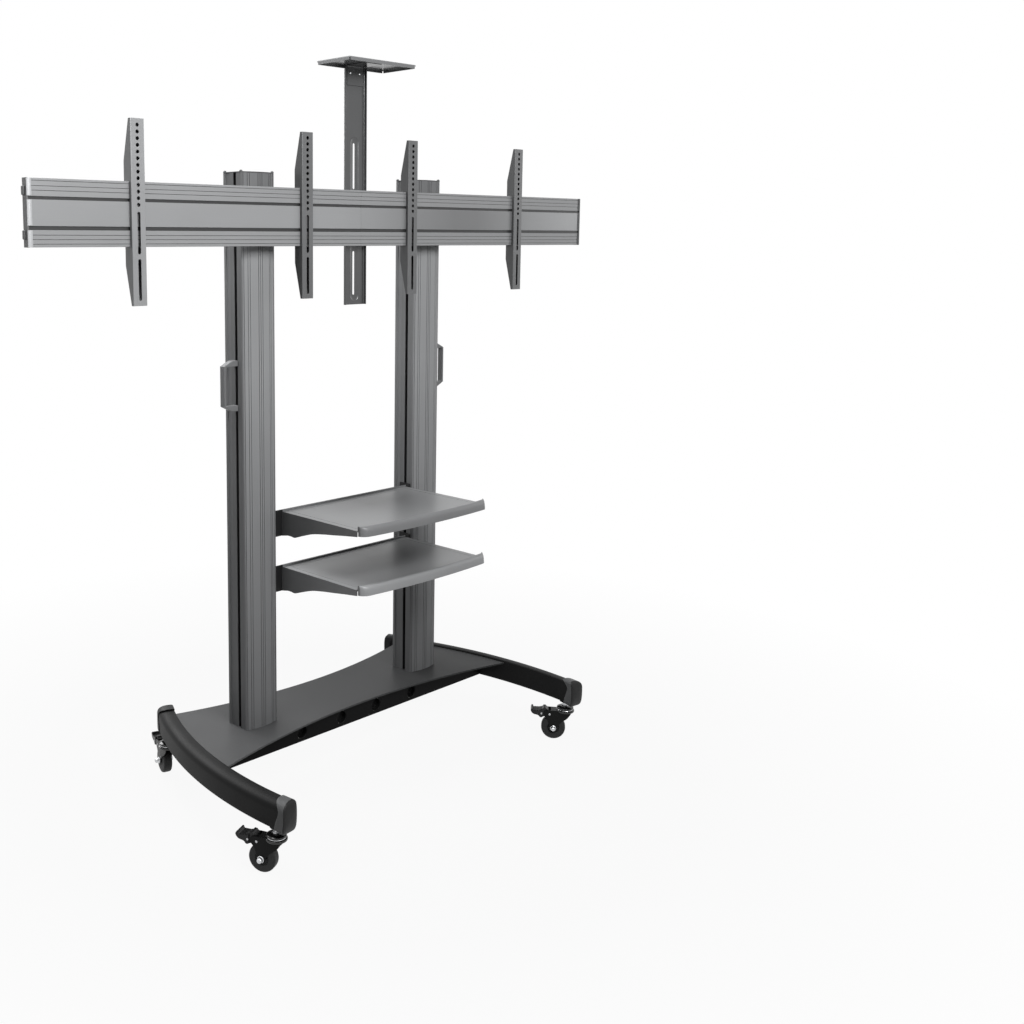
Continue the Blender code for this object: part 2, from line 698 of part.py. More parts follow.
def build_beam_joint(parent):
    """Plate that ties both beam halves, and the two column brackets behind it."""
    plate_front = BEAM_REAR_Y + GAP
    plate_rear = plate_front + JOINT_THICK
    piece("beam_joint_plate", box((-JOINT_HALF_L, plate_front, JOINT_LOW),
                                  (JOINT_HALF_L, plate_rear, JOINT_TOP)), GREY_STEEL, parent)
    base_front = plate_rear + GAP
    base_rear = base_front + BRACKET_THICK
    ear_out = COLUMN_X - COLUMN_HALF_W - GAP
    ear_in = ear_out - BRACKET_THICK
    outline = [(ear_in, base_front), (BRACKET_OUT_X, base_front), (BRACKET_OUT_X, base_rear),
               (ear_out, base_rear), (ear_out, BRACKET_EAR_REAR_Y), (ear_in, BRACKET_EAR_REAR_Y)]
    for name, side in (("left", -1), ("right", 1)):
        shape = prism([outline], BRACKET_LOW, BRACKET_TOP)
        if side < 0:
            shape = mirrored(shape)
        piece(f"column_bracket_{name}", shape, BLACK_STEEL, parent)


def vesa_outline(inset):
    """Side outline of a display bracket in (y, z), drawn in by a sheet's thickness."""
    front = VESA_FRONT_Y + inset
    rear = VESA_REAR_Y - inset
    end = VESA_FRONT_Y + VESA_END_DEPTH - inset
    beam_front = BEAM_FRONT_Y - GAP
    beam_rear = BEAM_REAR_Y + GAP + inset
    under = BEAM_LOW - GAP - inset
    over = BEAM_TOP + GAP + inset
    low_kink, high_kink = VESA_KINKS
    low_hook, high_hook = VESA_HOOKS
    if inset > 0:
        return [(front, VESA_LOW + inset), (end, VESA_LOW + inset), (rear, low_kink), (rear, under),
                (beam_front + 0.01, under), (beam_front + 0.01, over), (rear, over), (rear, high_kink),
                (end, VESA_TOP - inset), (front, VESA_TOP - inset)]
    return [(front, VESA_LOW), (end, VESA_LOW), (rear, low_kink), (rear, low_hook), (beam_rear, low_hook),
            (beam_rear, under), (beam_front, under), (beam_front, over), (beam_rear, over),
            (beam_rear, high_hook), (rear, high_hook), (rear, high_kink), (end, VESA_TOP),
            (front, VESA_TOP)]


def build_vesa_bracket(number, x):
    """Folded channel with holes above and long slots below that hangs on the beam."""
    channel = piece(f"display_bracket_{number}", prism([vesa_outline(0.0)], -VESA_HALF_W, VESA_HALF_W, "X"),
                    GREY_STEEL, at=(x, 0, 0))
    inside = VESA_HALF_W - VESA_SHEET
    cut(channel, prism([vesa_outline(VESA_SHEET)], -inside, inside, "X"))
    before = VESA_FRONT_Y - 0.004
    behind = VESA_FRONT_Y + 0.005
    tools = [prism([obround(0.0, low, high, VESA_SLOT_HALF_W, 4)], before, behind, "Y")
             for low, high in VESA_SLOTS]
    for step in range(VESA_HOLE_COUNT):
        z = VESA_HOLE_TOP - step * VESA_HOLE_PITCH
        tools.append(cylinder(VESA_HOLE_R, (0, before, z), (0, behind, z), 8))
    cut(channel, joined(tools))


def build_camera_bar(parent):
    """Shallow upright channel with a raised rim round three adjustment slots."""
    half = BAR_HALF_W
    inner = half - BAR_SHEET
    web = BAR_REAR_Y - BAR_SHEET
    outline = [(-half, BAR_FRONT_Y), (-inner, BAR_FRONT_Y), (-inner, web), (inner, web),
               (inner, BAR_FRONT_Y), (half, BAR_FRONT_Y), (half, BAR_REAR_Y - 0.002),
               (half - 0.002, BAR_REAR_Y), (-half + 0.002, BAR_REAR_Y), (-half, BAR_REAR_Y - 0.002)]
    bar = piece("camera_bar", prism([outline], BAR_LOW, BAR_TOP), BAR_PAINT, parent)
    fuse(bar, prism([obround(0.0, *BAR_RIM, BAR_RIM_HALF_W, 8)], web + 0.0005,
                    BAR_REAR_Y + BAR_RIM_RISE, "Y"))
    slots = [obround(0.0, low, high, BAR_SLOT_HALF_W, 4) for low, high in BAR_SLOTS]
    cut(bar, prism(slots, web - 0.003, BAR_REAR_Y + 0.005, "Y"))


def build_camera_bolts(parent):
    """Clamp bolts of the bar: shank through the slot, washer and head behind it."""
    seat = BAR_REAR_Y + BAR_RIM_RISE + GAP
    root = BEAM_REAR_Y + 2 * GAP + JOINT_THICK
    profile = [(0.0, 0.0065), (0.0050, 0.0065), (0.0062, 0.0050), (0.0062, 0.0016), (0.0085, 0.0016),
               (0.0085, 0.0), (BAR_BOLT_R, 0.0), (BAR_BOLT_R, root - seat), (0.0, root - seat)]
    for place, z in BAR_BOLT_Z.items():
        piece(f"camera_bar_bolt_{place}", turned(profile, 12, "Y"), ZINC, parent, at=(0, seat, z))


def build_camera_shelf(parent):
    """Small tray with turned-down lips, and the angle tab that joins it to the bar."""
    half = CAMERA_SHELF_HALF_W
    sheet = CAMERA_SHELF_SHEET
    low = CAMERA_SHELF_TOP - CAMERA_SHELF_LIP
    under = CAMERA_SHELF_TOP - sheet
    shelf = piece("camera_shelf", box((-half, CAMERA_SHELF_FRONT_Y, low),
                                      (half, CAMERA_SHELF_REAR_Y, CAMERA_SHELF_TOP)), BAR_PAINT, parent)
    cut(shelf, box((-half + sheet, CAMERA_SHELF_FRONT_Y + sheet, low - 0.01),
                   (half - sheet, CAMERA_SHELF_REAR_Y - sheet, under)))
    notch = 0.004
    corners = []
    for x in (-half, half):
        for y in (CAMERA_SHELF_FRONT_Y, CAMERA_SHELF_REAR_Y):
            corners.append(box((x - notch, y - notch, low - 0.01), (x + notch, y + notch, under - 0.0005)))
    cut(shelf, joined(corners))
    web = BAR_REAR_Y - BAR_SHEET - GAP
    plate = 0.0025
    top = under - GAP
    outline = [(web - plate, CAMERA_TAB_LOW), (web, CAMERA_TAB_LOW), (web, top),
               (CAMERA_TAB_FRONT_Y, top), (CAMERA_TAB_FRONT_Y, top - plate), (web - plate, top - plate)]
    piece("camera_shelf_tab", prism([outline], -CAMERA_TAB_HALF_W, CAMERA_TAB_HALF_W, "X"), BAR_PAINT, parent)


def lip_section():
    """Rolled front lip of a tray: up, over and down in front; forward is +x here."""
    outer = [(0.0, -0.0020), (0.0, 0.0060), (0.0030, 0.0105), (0.0085, 0.0125), (0.0145, 0.0105),
             (0.0185, 0.0040), (0.0215, -0.0130)]
    inner = [(0.0197, -0.0130), (0.0168, 0.0033), (0.0134, 0.0090), (0.0085, 0.0107),
             (0.0020, 0.0060), (0.0018, -0.0020)]
    return outer + inner


def build_tray(name, top, parent):
    """Pressed tray with a rear flange, tapered side arms and a rolled front lip."""
    half = TRAY_HALF_W
    rear = RAIL_FRONT_Y - GAP
    front = bowed_line(half, TRAY_FRONT_Y, TRAY_FRONT_Y - TRAY_BOW, 8)
    nudge = 0.001
    outline = [(x, y - nudge) for x, y in front] + [(half, rear), (-half, rear)]
    tray = piece(name, prism([outline], top - TRAY_SHEET, top), TRAY_PAINT, parent)
    arm = [(rear, -0.0010), (rear, -TRAY_ARM_DROP), (COLUMN_Y - 0.060, -0.0640),
           (COLUMN_Y - 0.073, -0.0645), (COLUMN_Y - 0.085, -0.0670), (COLUMN_Y - 0.120, -0.0525),
           (COLUMN_Y - 0.158, -0.0400), (COLUMN_Y - 0.200, -0.0325), (COLUMN_Y - 0.240, -0.0270),
           (COLUMN_Y - 0.285, -0.0205), (TRAY_FRONT_Y + 0.002, -0.0150), (TRAY_FRONT_Y + 0.002, -0.0010)]
    outline = [(y, top + z) for y, z in arm]
    fuse(tray, joined([prism([outline], half - TRAY_SHEET, half, "X"),
                       prism([outline], -half, -half + TRAY_SHEET, "X")]))
    inside = half - TRAY_SHEET / 2
    fuse(tray, box((-inside, rear - TRAY_SHEET, top - 0.058), (inside, rear, top - 0.0010)))
    fuse(tray, sweep([(x, y, top) for x, y in front], lip_section()))


def build_rail(name, top, parent):
    """Rear rail between the columns: web, folded lower lip and an end flange on each column."""
    end = COLUMN_X - COLUMN_HALF_W - GAP
    sheet = RAIL_SHEET
    high = top + RAIL_RISE
    low = top - TRAY_ARM_DROP
    rear = RAIL_FRONT_Y + sheet
    outline = [(-end, RAIL_FLANGE_REAR_Y), (-end, RAIL_FRONT_Y), (end, RAIL_FRONT_Y),
               (end, RAIL_FLANGE_REAR_Y), (end - sheet, RAIL_FLANGE_REAR_Y), (end - sheet, rear),
               (-end + sheet, rear), (-end + sheet, RAIL_FLANGE_REAR_Y)]
    rail = piece(name, prism([outline], low, high), BLACK_STEEL, parent)
    inside = end - sheet - 0.004
    fuse(rail, box((-inside, RAIL_FRONT_Y + 0.001, low), (inside, RAIL_FRONT_Y + RAIL_DEPTH, low + sheet)))


def build_shelf(level, top):
    """One height-adjustable shelf."""
    parent = anchor(f"shelf_{level}_height", (0, COLUMN_Y, top))
    build_tray(f"shelf_tray_{level}", top, parent)
    build_rail(f"shelf_rail_{level}", top, parent)


def build_caster_stem(name, spot):
    """Threaded stem with its nut and washer, screwed up through a leg cap into the leg."""
    collar = LEG_CAP_LOW - GAP
    seat = CASTER_HEAD_TOP + GAP
    profile = [
        (0.0, STEM_TOP), (STEM_R, STEM_TOP - 0.001), (STEM_R, collar), (0.0080, collar),
        (0.0080, 0.1000), (0.0095, 0.1000), (0.0095, seat), (0.0, seat),
    ]
    piece(name, turned(profile, 12), ZINC, at=(*spot, 0))


def build_fork(name, spot, turn):
    """Swivel head, hood and two side plates in one pressed and riveted unit; +X trails."""
    wide = FORK_GAP_HALF + FORK_SHEET
    axle = (CASTER_TRAIL, AXLE_Z)
    outline = [(-0.0170, 0.0840), (-0.0165, 0.0740), (-0.0060, 0.0600), (0.0139, 0.0458)]
    outline += arc(axle, 0.0105, math.radians(205), math.radians(350), 6)
    outline += [(0.0490, 0.0500), (0.0560, 0.0626), (0.0620, 0.0680), (0.0630, 0.0770), (0.0580, 0.0825),
                (0.0500, 0.0840)]
    fork = piece(name, prism([outline], -wide, wide, "Y"), BLACK_STEEL, at=(*spot, 0), turn=turn)
    gap = FORK_GAP_HALF
    opening = [(-0.1, -0.01), (0.1, -0.01), (0.1, 0.1), (0.0420, 0.1), (0.0420, 0.0800), (-0.1, 0.0800)]
    cut(fork, prism([opening], -gap, gap, "Y"))
    head = [
        (0.0, CASTER_HEAD_TOP), (0.0120, CASTER_HEAD_TOP), (0.0215, 0.0955), (0.0247, 0.0925),
        (0.0247, 0.0890), (0.0225, 0.0872), (0.0225, 0.0850), (0.0262, 0.0842), (0.0270, 0.0822),
        (0.0262, 0.0805), (0.0, 0.0805),
    ]
    fuse(fork, turned(head, 16))
    bores = []
    for (x, z), radius in ((axle, AXLE_R + GAP), ((PEDAL_PIVOT_AFT, PEDAL_PIVOT_Z), PEDAL_PIN_R + GAP)):
        bores.append(cylinder(radius, (x, -0.03, z), (x, 0.03, z), 12))
    cut(fork, joined(bores))


def build_axle(name, spot, turn):
    """Axle bolt with its domed head on one side and its nut on the other."""
    out = FORK_GAP_HALF + FORK_SHEET + GAP
    profile = [
        (0.0, out + 0.0125), (0.0045, out + 0.0118), (0.0075, out + 0.0090), (0.0085, out + 0.0030),
        (0.0085, out), (AXLE_R, out), (AXLE_R, -out), (0.0075, -out), (0.0075, -out - 0.0060),
        (0.0, -out - 0.0060),
    ]
    piece(name, turned(profile, 12, "Y"), ZINC, at=spot, turn=turn)


def build_wheel(name, spot, turn):
    """Wheel with a rounded tyre and a bored hub, turned about the axle."""
    half = WHEEL_HALF_W
    side = [(0.0110, half - 0.0030), (0.0165, half - 0.0035), (0.0185, half), (WHEEL_R - 0.0035, half),
            (WHEEL_R, half - 0.0045)]
    upper = [(AXLE_R + GAP, half + 0.0007), (0.0095, half + 0.0007)] + side
    profile = upper + [(radius, -height) for radius, height in reversed(upper)]
    piece(name, turned(profile, 24, "Y", closed=True), TYRE_RUBBER, at=spot, turn=turn)


def build_pedal(name, spot, turn):
    """Brake pedal on its rivet: arm between the plates, wide pressed toe, pin with two heads."""
    out = FORK_GAP_HALF + FORK_SHEET + GAP
    arm = [(-0.0090, -0.0030), (0.0100, -0.0055), (0.0230, -0.0095), (0.0230, 0.0158), (0.0170, 0.0175),
           (0.0110, 0.0175), (0.0040, 0.0130), (0.0010, 0.0045), (-0.0080, 0.0030)]
    pedal = piece(name, prism([arm], -0.0128, 0.0128, "Y"), BLACK_STEEL, at=spot, turn=turn)
    toe = [(0.0210, -0.0105), (0.0280, -0.0110), (0.0330, -0.0040), (0.0483, -0.0010), (0.0545, 0.0070),
           (0.0535, 0.0150), (0.0500, 0.0165), (0.0210, 0.0155)]
    fuse(pedal, prism([toe], -0.0170, 0.0170, "Y"))
    hollow = [(0.0240, -0.0300), (0.0560, -0.0300), (0.0530, 0.0060), (0.0512, 0.0138), (0.0240, 0.0132)]
    cut(pedal, prism([hollow], -0.0148, 0.0148, "Y"))
    rivet = [
        (0.0, out + 0.0016), (0.0028, out + 0.0012), (0.0042, out), (PEDAL_PIN_R, out), (PEDAL_PIN_R, -out),
        (0.0042, -out), (0.0028, -out - 0.0012), (0.0, -out - 0.0016),
    ]
    fuse(pedal, turned(rivet, 12, "Y"))


def build_caster(corner, side, end, heading):
    """One braked swivel caster, its wheel trailing towards the heading in degrees."""
    spot = stem_point(side, end)
    turn = math.radians(heading)
    trail = Vector((math.cos(turn), math.sin(turn), 0))
    axle = Vector((*spot, AXLE_Z)) + trail * CASTER_TRAIL
    pivot = Vector((*spot, PEDAL_PIVOT_Z)) + trail * PEDAL_PIVOT_AFT
    build_caster_stem(f"caster_stem_{corner}", spot)
    build_fork(f"caster_fork_{corner}", spot, turn)
    build_axle(f"caster_axle_{corner}", axle, turn)
    build_wheel(f"caster_wheel_{corner}", axle, turn)
    build_pedal(f"caster_pedal_{corner}", pivot, turn)


def anchor(name, spot):
    """Empty that carries the pieces of one moving group."""
    made = bpy.data.objects.new(name, None)
    made.location = Vector(spot) + Vector((0, 0, DATUM))
    PARTS.objects.link(made)
    return made


def build_stand():
    """The whole stand."""
    build_deck()
    build_crossmember()
    for name, side in (("left", -1), ("right", 1)):
        build_leg(f"leg_{name}", side)
        build_leg_cap(f"leg_cap_front_{name}", side, -1)
        build_leg_cap(f"leg_cap_rear_{name}", side, 1)
        build_column(f"column_{name}", side)
        build_column_cap(f"column_cap_{name}", side)
        build_handle(f"handle_{name}", side)
        for place, height in GROMMET_HEIGHTS.items():
            build_grommet(f"grommet_{place}_{name}", side, height)
    beam = anchor("crossbeam_height", (0, COLUMN_Y, (BEAM_LOW + BEAM_TOP) / 2))
    for name, side in (("left", -1), ("right", 1)):
        build_beam_half(f"beam_{name}", side, beam)
        build_beam_cap(f"beam_cap_{name}", side, beam)
    build_beam_joint(beam)
    build_camera_bolts(beam)
    for number, x in enumerate(VESA_X, start=1):
        build_vesa_bracket(number, x)
    camera = anchor("camera_bar_height", (0, BAR_REAR_Y, BAR_BOLT_Z["low"]))
    build_camera_bar(camera)
    build_camera_shelf(camera)
    for level, top in SHELF_TOPS.items():
        build_shelf(level, top)
    for corner, (side, end, heading) in CASTERS.items():
        build_caster(corner, side, end, heading)


build_stand()
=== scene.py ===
import json
import math

import bmesh
import bpy
from mathutils import Matrix, Vector


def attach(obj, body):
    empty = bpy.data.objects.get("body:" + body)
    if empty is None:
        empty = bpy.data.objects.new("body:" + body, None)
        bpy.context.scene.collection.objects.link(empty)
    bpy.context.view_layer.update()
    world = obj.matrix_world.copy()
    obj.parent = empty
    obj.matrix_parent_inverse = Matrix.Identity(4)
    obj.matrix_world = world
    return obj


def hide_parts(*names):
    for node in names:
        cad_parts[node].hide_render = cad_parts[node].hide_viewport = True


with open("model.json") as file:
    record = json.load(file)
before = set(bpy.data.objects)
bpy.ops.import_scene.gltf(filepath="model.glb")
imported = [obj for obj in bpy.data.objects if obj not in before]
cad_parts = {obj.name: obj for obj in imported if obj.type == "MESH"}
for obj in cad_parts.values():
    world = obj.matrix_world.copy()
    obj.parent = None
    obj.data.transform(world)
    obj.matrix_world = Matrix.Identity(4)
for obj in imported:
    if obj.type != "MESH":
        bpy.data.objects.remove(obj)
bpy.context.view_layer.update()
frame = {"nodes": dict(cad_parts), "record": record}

NODES = frame["nodes"]
BODY_OF = {node: body for body, nodes in frame["record"]["behaviour"]["bodies"].items() for node in nodes}
SIDES = (("left", -1), ("right", 1))

# Heights below are measured from a level this far above the floor
DATUM = 0.0045
# Gap between a piece and the one that it touches
FIT = 0.0003
# A length below this counts as nothing
NEAR = 0.00001
COLUMN_Y = 0.0712
COLUMN_X = 0.3172
TRAY_HALF_W = 0.24
SLOT_Y = COLUMN_Y - 0.01
COLUMN_HALF_W = 0.0546
COLUMN_HALF_D = 0.037
COLUMN_BOW = 0.01
COLUMN_INNER_X = COLUMN_X - COLUMN_HALF_W
BEAM_LOW = 1.468
BEAM_TOP = 1.617
BEAM_FRONT_Y = COLUMN_Y - 0.089
BEAM_REAR_Y = COLUMN_Y - 0.073


# Mesh tools

def finished(bm, smooth_angle=None):
    """Mesh data from a bmesh, smooth below an angle in degrees."""
    bmesh.ops.remove_doubles(bm, verts=bm.verts, dist=NEAR / 2)
    bmesh.ops.recalc_face_normals(bm, faces=bm.faces)
    if smooth_angle is not None:
        limit = math.radians(smooth_angle)
        for face in bm.faces:
            face.smooth = True
        for edge in bm.edges:
            edge.smooth = edge.is_manifold and edge.calc_face_angle(0.0) < limit
    mesh = bpy.data.meshes.new("shape")
    bm.to_mesh(mesh)
    bm.free()
    return mesh


def opened(mesh):
    """Editable copy of mesh data; the data is removed."""
    bm = bmesh.new()
    bm.from_mesh(mesh)
    bpy.data.meshes.remove(mesh)
    return bm


def linked(name, data):
    """New object in the scene."""
    made = bpy.data.objects.new(name, data)
    bpy.context.scene.collection.objects.link(made)
    return made


def evaluated(holder):
    """Mesh of an object with its settings applied; the object is removed."""
    depsgraph = bpy.context.evaluated_depsgraph_get()
    mesh = bpy.data.meshes.new_from_object(holder.evaluated_get(depsgraph))
    bpy.data.objects.remove(holder)
    return finished(opened(mesh))


QUARTER = math.pi / 2
FILL_SCALE = 100.0
TURNS = {
    "X": Matrix.Rotation(QUARTER, 4, "Z") @ Matrix.Rotation(QUARTER, 4, "X"),
    "Y": Matrix.Rotation(QUARTER, 4, "X"),
    "Z": Matrix.Identity(4),
}
AXES = {"X": Vector((1, 0, 0)), "Y": Vector((0, 1, 0)), "Z": Vector((0, 0, 1))}


def prism(loops, low, high, along="Z"):
    """Outlines extruded along an axis: (x, y) along Z, (y, z) along X, (x, z) along Y."""
    curve = bpy.data.curves.new("outline", "CURVE")
    curve.dimensions = "2D"
    for loop in loops:
        spline = curve.splines.new("POLY")
        spline.points.add(len(loop) - 1)
        spline.use_cyclic_u = True
        for point, (u, v) in zip(spline.points, loop):
            point.co = (u * FILL_SCALE, v * FILL_SCALE, 0.0, 1.0)
    curve.fill_mode = "BOTH"
    curve.extrude = FILL_SCALE * (high - low) / 2
    mesh = evaluated(linked("outline", curve))
    middle = Matrix.Translation(AXES[along] * (low + high) / 2)
    mesh.transform(middle @ TURNS[along] @ Matrix.Scale(1 / FILL_SCALE, 4))
    return mesh


def box(low, high):
    """Block between two corners."""
    low, high = Vector(low), Vector(high)
    bm = bmesh.new()
    bmesh.ops.create_cube(bm, size=1.0)
    bmesh.ops.scale(bm, vec=high - low, verts=bm.verts)
    bmesh.ops.translate(bm, vec=(low + high) / 2, verts=bm.verts)
    return finished(bm)


def lathe(profile, segments=32, along="Z", closed=False):
    """Profile of (radius, height) points turned about Z or Y."""
    bm = bmesh.new()
    rings = []
    for radius, height in profile:
        angles = [2 * math.pi * step / segments for step in range(segments if radius > 0 else 1)]
        rings.append([bm.verts.new((radius * math.cos(angle), radius * math.sin(angle), height))
                      for angle in angles])
    for first, second in zip(rings, rings[1:] + (rings[:1] if closed else [])):
        for step in range(segments):
            after = (step + 1) % segments
            corners = [first[step % len(first)], first[after % len(first)],
                       second[after % len(second)], second[step % len(second)]]
            unique = list(dict.fromkeys(corners))
            if len(unique) > 2:
                bm.faces.new(unique)
    mesh = finished(bm)
    return placed(mesh, turn=-QUARTER, axis="X") if along == "Y" else mesh


def rod(radius, start, end, segments=24):
    """Round bar between two points."""
    start = Vector(start)
    line = Vector(end) - start
    mesh = lathe([(0.0, 0.0), (radius, 0.0), (radius, line.length), (0.0, line.length)], segments)
    mesh.transform(Matrix.Translation(start) @ line.to_track_quat("Z", "Y").to_matrix().to_4x4())
    return mesh


def loft(rings):
    """Closed skin through rings of equally many points."""
    bm = bmesh.new()
    made = [[bm.verts.new(point) for point in ring] for ring in rings]
    for first, second in zip(made, made[1:]):
        for step in range(len(first)):
            bm.faces.new([first[step - 1], first[step], second[step], second[step - 1]])
    bm.faces.new(made[0])
    bm.faces.new(made[-1])
    return finished(bm)


def placed(mesh, spot=(0, 0, 0), turn=0.0, axis="Z"):
    """Same mesh turned about an axis in radians, then moved."""
    mesh.transform(Matrix.Translation(spot) @ Matrix.Rotation(turn, 4, axis))
    return mesh


def mirrored(mesh):
    """Same mesh reflected to the other side of X."""
    mesh.transform(Matrix.Scale(-1, 4, (1, 0, 0)))
    mesh.flip_normals()
    return mesh


def sided(side, mesh):
    """Mesh of the right-hand side, reflected for the left."""
    return mirrored(mesh) if side < 0 else mesh


def together(meshes):
    """One mesh that holds several."""
    bm = bmesh.new()
    for mesh in meshes:
        bm.from_mesh(mesh)
        bpy.data.meshes.remove(mesh)
    made = bpy.data.meshes.new("group")
    bm.to_mesh(made)
    bm.free()
    return made


def combined(mesh, tool, operation):
    """Boolean of two meshes."""
    holder, other = linked("target", mesh), linked("tool", tool)
    step = holder.modifiers.new("combine", "BOOLEAN")
    step.operation = operation
    step.solver = "EXACT"
    step.use_self = False
    step.object = other
    made = evaluated(holder)
    bpy.data.objects.remove(other)
    return made


def cut(mesh, tool):
    """Mesh less a tool."""
    return combined(mesh, tool, "DIFFERENCE")


def fused(mesh, tool):
    """Mesh joined with a tool."""
    return combined(mesh, tool, "UNION")


def merge_flat(bm):
    """Join faces of an editable mesh that lie in one plane."""
    bmesh.ops.dissolve_limit(bm, angle_limit=math.radians(0.4), verts=bm.verts, edges=bm.edges,
                             use_dissolve_boundaries=False)


def round_edges(bm, edges, width, segments):
    """Round some edges of an editable mesh."""
    bmesh.ops.bevel(bm, geom=edges, offset=width, offset_type="OFFSET", segments=segments, profile=0.5,
                    affect="EDGES", clamp_overlap=True)


def softened(mesh, width, sharp=28.0, segments=2, smooth_angle=50.0):
    """Same shape with rounded edges and soft shading."""
    bm = opened(mesh)
    bmesh.ops.remove_doubles(bm, verts=bm.verts, dist=NEAR)
    merge_flat(bm)
    limit = math.radians(sharp)
    edges = [edge for edge in bm.edges if edge.is_manifold and edge.calc_face_angle(0.0) > limit]
    round_edges(bm, edges, width, segments)
    return finished(bm, smooth_angle)


def shaded(mesh, smooth_angle=40.0):
    """Same mesh with smooth shading below an angle."""
    return finished(opened(mesh), smooth_angle)


def show(name, mesh, material, part, stands_for=True, rise=DATUM):
    """Visual piece that rides with a CAD part and stands for it."""
    mesh.transform(Matrix.Translation((0, 0, rise)))
    mesh.name = name
    mesh.materials.clear()
    mesh.materials.append(material)
    made = linked(name, mesh)
    made.modifiers.new("even_normals", "WEIGHTED_NORMAL").keep_sharp = True
    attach(made, BODY_OF[part])
    if stands_for:
        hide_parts(part)


def add(name, mesh, material, part):
    """Visual piece that only adds to a CAD part."""
    show(name, mesh, material, part, False)


# Outline tools

def mm(*points, origin=(0.0, 0.0)):
    """Points given in millimetres from an origin."""
    return [(origin[0] + u / 1000, origin[1] + v / 1000) for u, v in points]


def arc(centre, radius, start, end, count):
    """Points on a circle from one angle to another, in radians."""
    made = []
    for step in range(count + 1):
        angle = start + (end - start) * step / count
        made.append((centre[0] + radius * math.cos(angle), centre[1] + radius * math.sin(angle)))
    return made


def quarter_arc(x, y, radius, quarter, count=5):
    """Quarter circle about a centre; quarter 0 runs from the right to the top."""
    return arc((x, y), radius, quarter * QUARTER, (quarter + 1) * QUARTER, count)


def obround(low, high, half_width, count=12):
    """Upright slot outline with round ends."""
    top = arc((0.0, high - half_width), half_width, 0, math.pi, count)
    return top + arc((0.0, low + half_width), half_width, math.pi, 2 * math.pi, count)


def curved(points, steps=6):
    """Smooth line through open points."""
    made = []
    points = [Vector(point) for point in points]
    padded = points[:1] + points + points[-1:]
    for before, start, end, after in zip(padded, points, points[1:], padded[3:]):
        for step in range(steps):
            share = step / steps
            rest = 1 - share
            pull = (end - before) / 2 * share * rest ** 2 - (after - start) / 2 * share ** 2 * rest
            made.append(tuple(start.lerp(end, share * share * (3 - 2 * share)) + pull))
    return made + [tuple(points[-1])]


# Material tools

def fill(made, values):
    """Give a node's inputs their values or links."""
    for key, value in values.items():
        if isinstance(value, bpy.types.NodeSocket):
            made.id_data.links.new(value, made.inputs[key])
        else:
            made.inputs[key].default_value = value


def node(tree, kind, values, **settings):
    """Node with its settings and its input values or links."""
    made = tree.nodes.new(kind)
    for key, value in settings.items():
        setattr(made, key, value)
    fill(made, values)
    return made


def shader(name):
    """Material with its node tree and surface node."""
    material = bpy.data.materials.new(name)
    material.use_nodes = True
    return material, material.node_tree, material.node_tree.nodes["Principled BSDF"]


def place(tree, stretch=(1, 1, 1)):
    """Object position, stretched."""
    where = node(tree, "ShaderNodeTexCoord", {}).outputs["Object"]
    return node(tree, "ShaderNodeMapping", {"Vector": where, "Scale": stretch}).outputs["Vector"]


def axes_of(tree):
    """Object position as three values."""
    where = node(tree, "ShaderNodeTexCoord", {}).outputs["Object"]
    return tuple(node(tree, "ShaderNodeSeparateXYZ", {0: where}).outputs)


def noise(vector, scale, detail=2.0, roughness=0.5):
    """Noise value."""
    values = {"Vector": vector, "Scale": scale, "Detail": detail, "Roughness": roughness}
    return node(vector.id_data, "ShaderNodeTexNoise", values).outputs["Fac"]


def spread(value, low, high, start=0.3, end=0.7):
    """Value mapped from its usual span to low and high."""
    values = {"Value": value, "From Min": start, "From Max": end, "To Min": low, "To Max": high}
    return node(value.id_data, "ShaderNodeMapRange", values).outputs["Result"]


def shade(level, tint=(1.0, 1.0, 1.0)):
    """Grey colour of one level, slightly tinted."""
    return (*(level * part for part in tint), 1.0)


def blend_colours(factor, first, second):
    """Colour between two by a factor."""
    values = {0: factor, 6: first, 7: second}
    return node(factor.id_data, "ShaderNodeMix", values, data_type="RGBA").outputs[2]


def maths(operation, *values):
    """Result of one arithmetic node."""
    tree = next(value.id_data for value in values if isinstance(value, bpy.types.NodeSocket))
    return node(tree, "ShaderNodeMath", dict(enumerate(values)), operation=operation).outputs[0]


def apart(value, middle):
    """Distance between two values."""
    return maths("ABSOLUTE", maths("SUBTRACT", value, middle))


def within(value, low, high):
    """Distance to the nearer of two limits."""
    return maths("MINIMUM", maths("SUBTRACT", value, low), maths("SUBTRACT", high, value))


# Shares of painted shade and painted reflection, and depths under the faces of the extrusions that set
# painted shade in their grooves

def column_depth(tree):
    """Distance under the column's nearest face, which sets painted shade in its grooves and T slots."""
    x, y, z = axes_of(tree)
    aside = apart(maths("ABSOLUTE", x), COLUMN_X)
    bow = maths("POWER", maths("DIVIDE", aside, COLUMN_HALF_W), 2.0)
    face = maths("MULTIPLY_ADD", bow, COLUMN_BOW, COLUMN_Y - COLUMN_HALF_D - COLUMN_BOW)
    side = maths("SUBTRACT", COLUMN_HALF_W - 0.0024, aside)
    return maths("MINIMUM", within(y, face, COLUMN_Y + COLUMN_HALF_D), side)


def column_painted_shade(tree):
    """Painted shade: darker on the column's sides, towards its foot and above the beam."""
    x, y, z = axes_of(tree)
    aside = apart(maths("ABSOLUTE", x), COLUMN_X)
    sides = spread(aside, 0.0, 0.7, COLUMN_HALF_W - 0.0045, COLUMN_HALF_W - 0.0015)
    top = spread(z, 0.0, 0.8, BEAM_TOP - 0.02 + DATUM, BEAM_TOP + DATUM)
    return maths("ADD", maths("ADD", spread(z, 0.74, 0.0, 0.2, 1.15), top), sides)


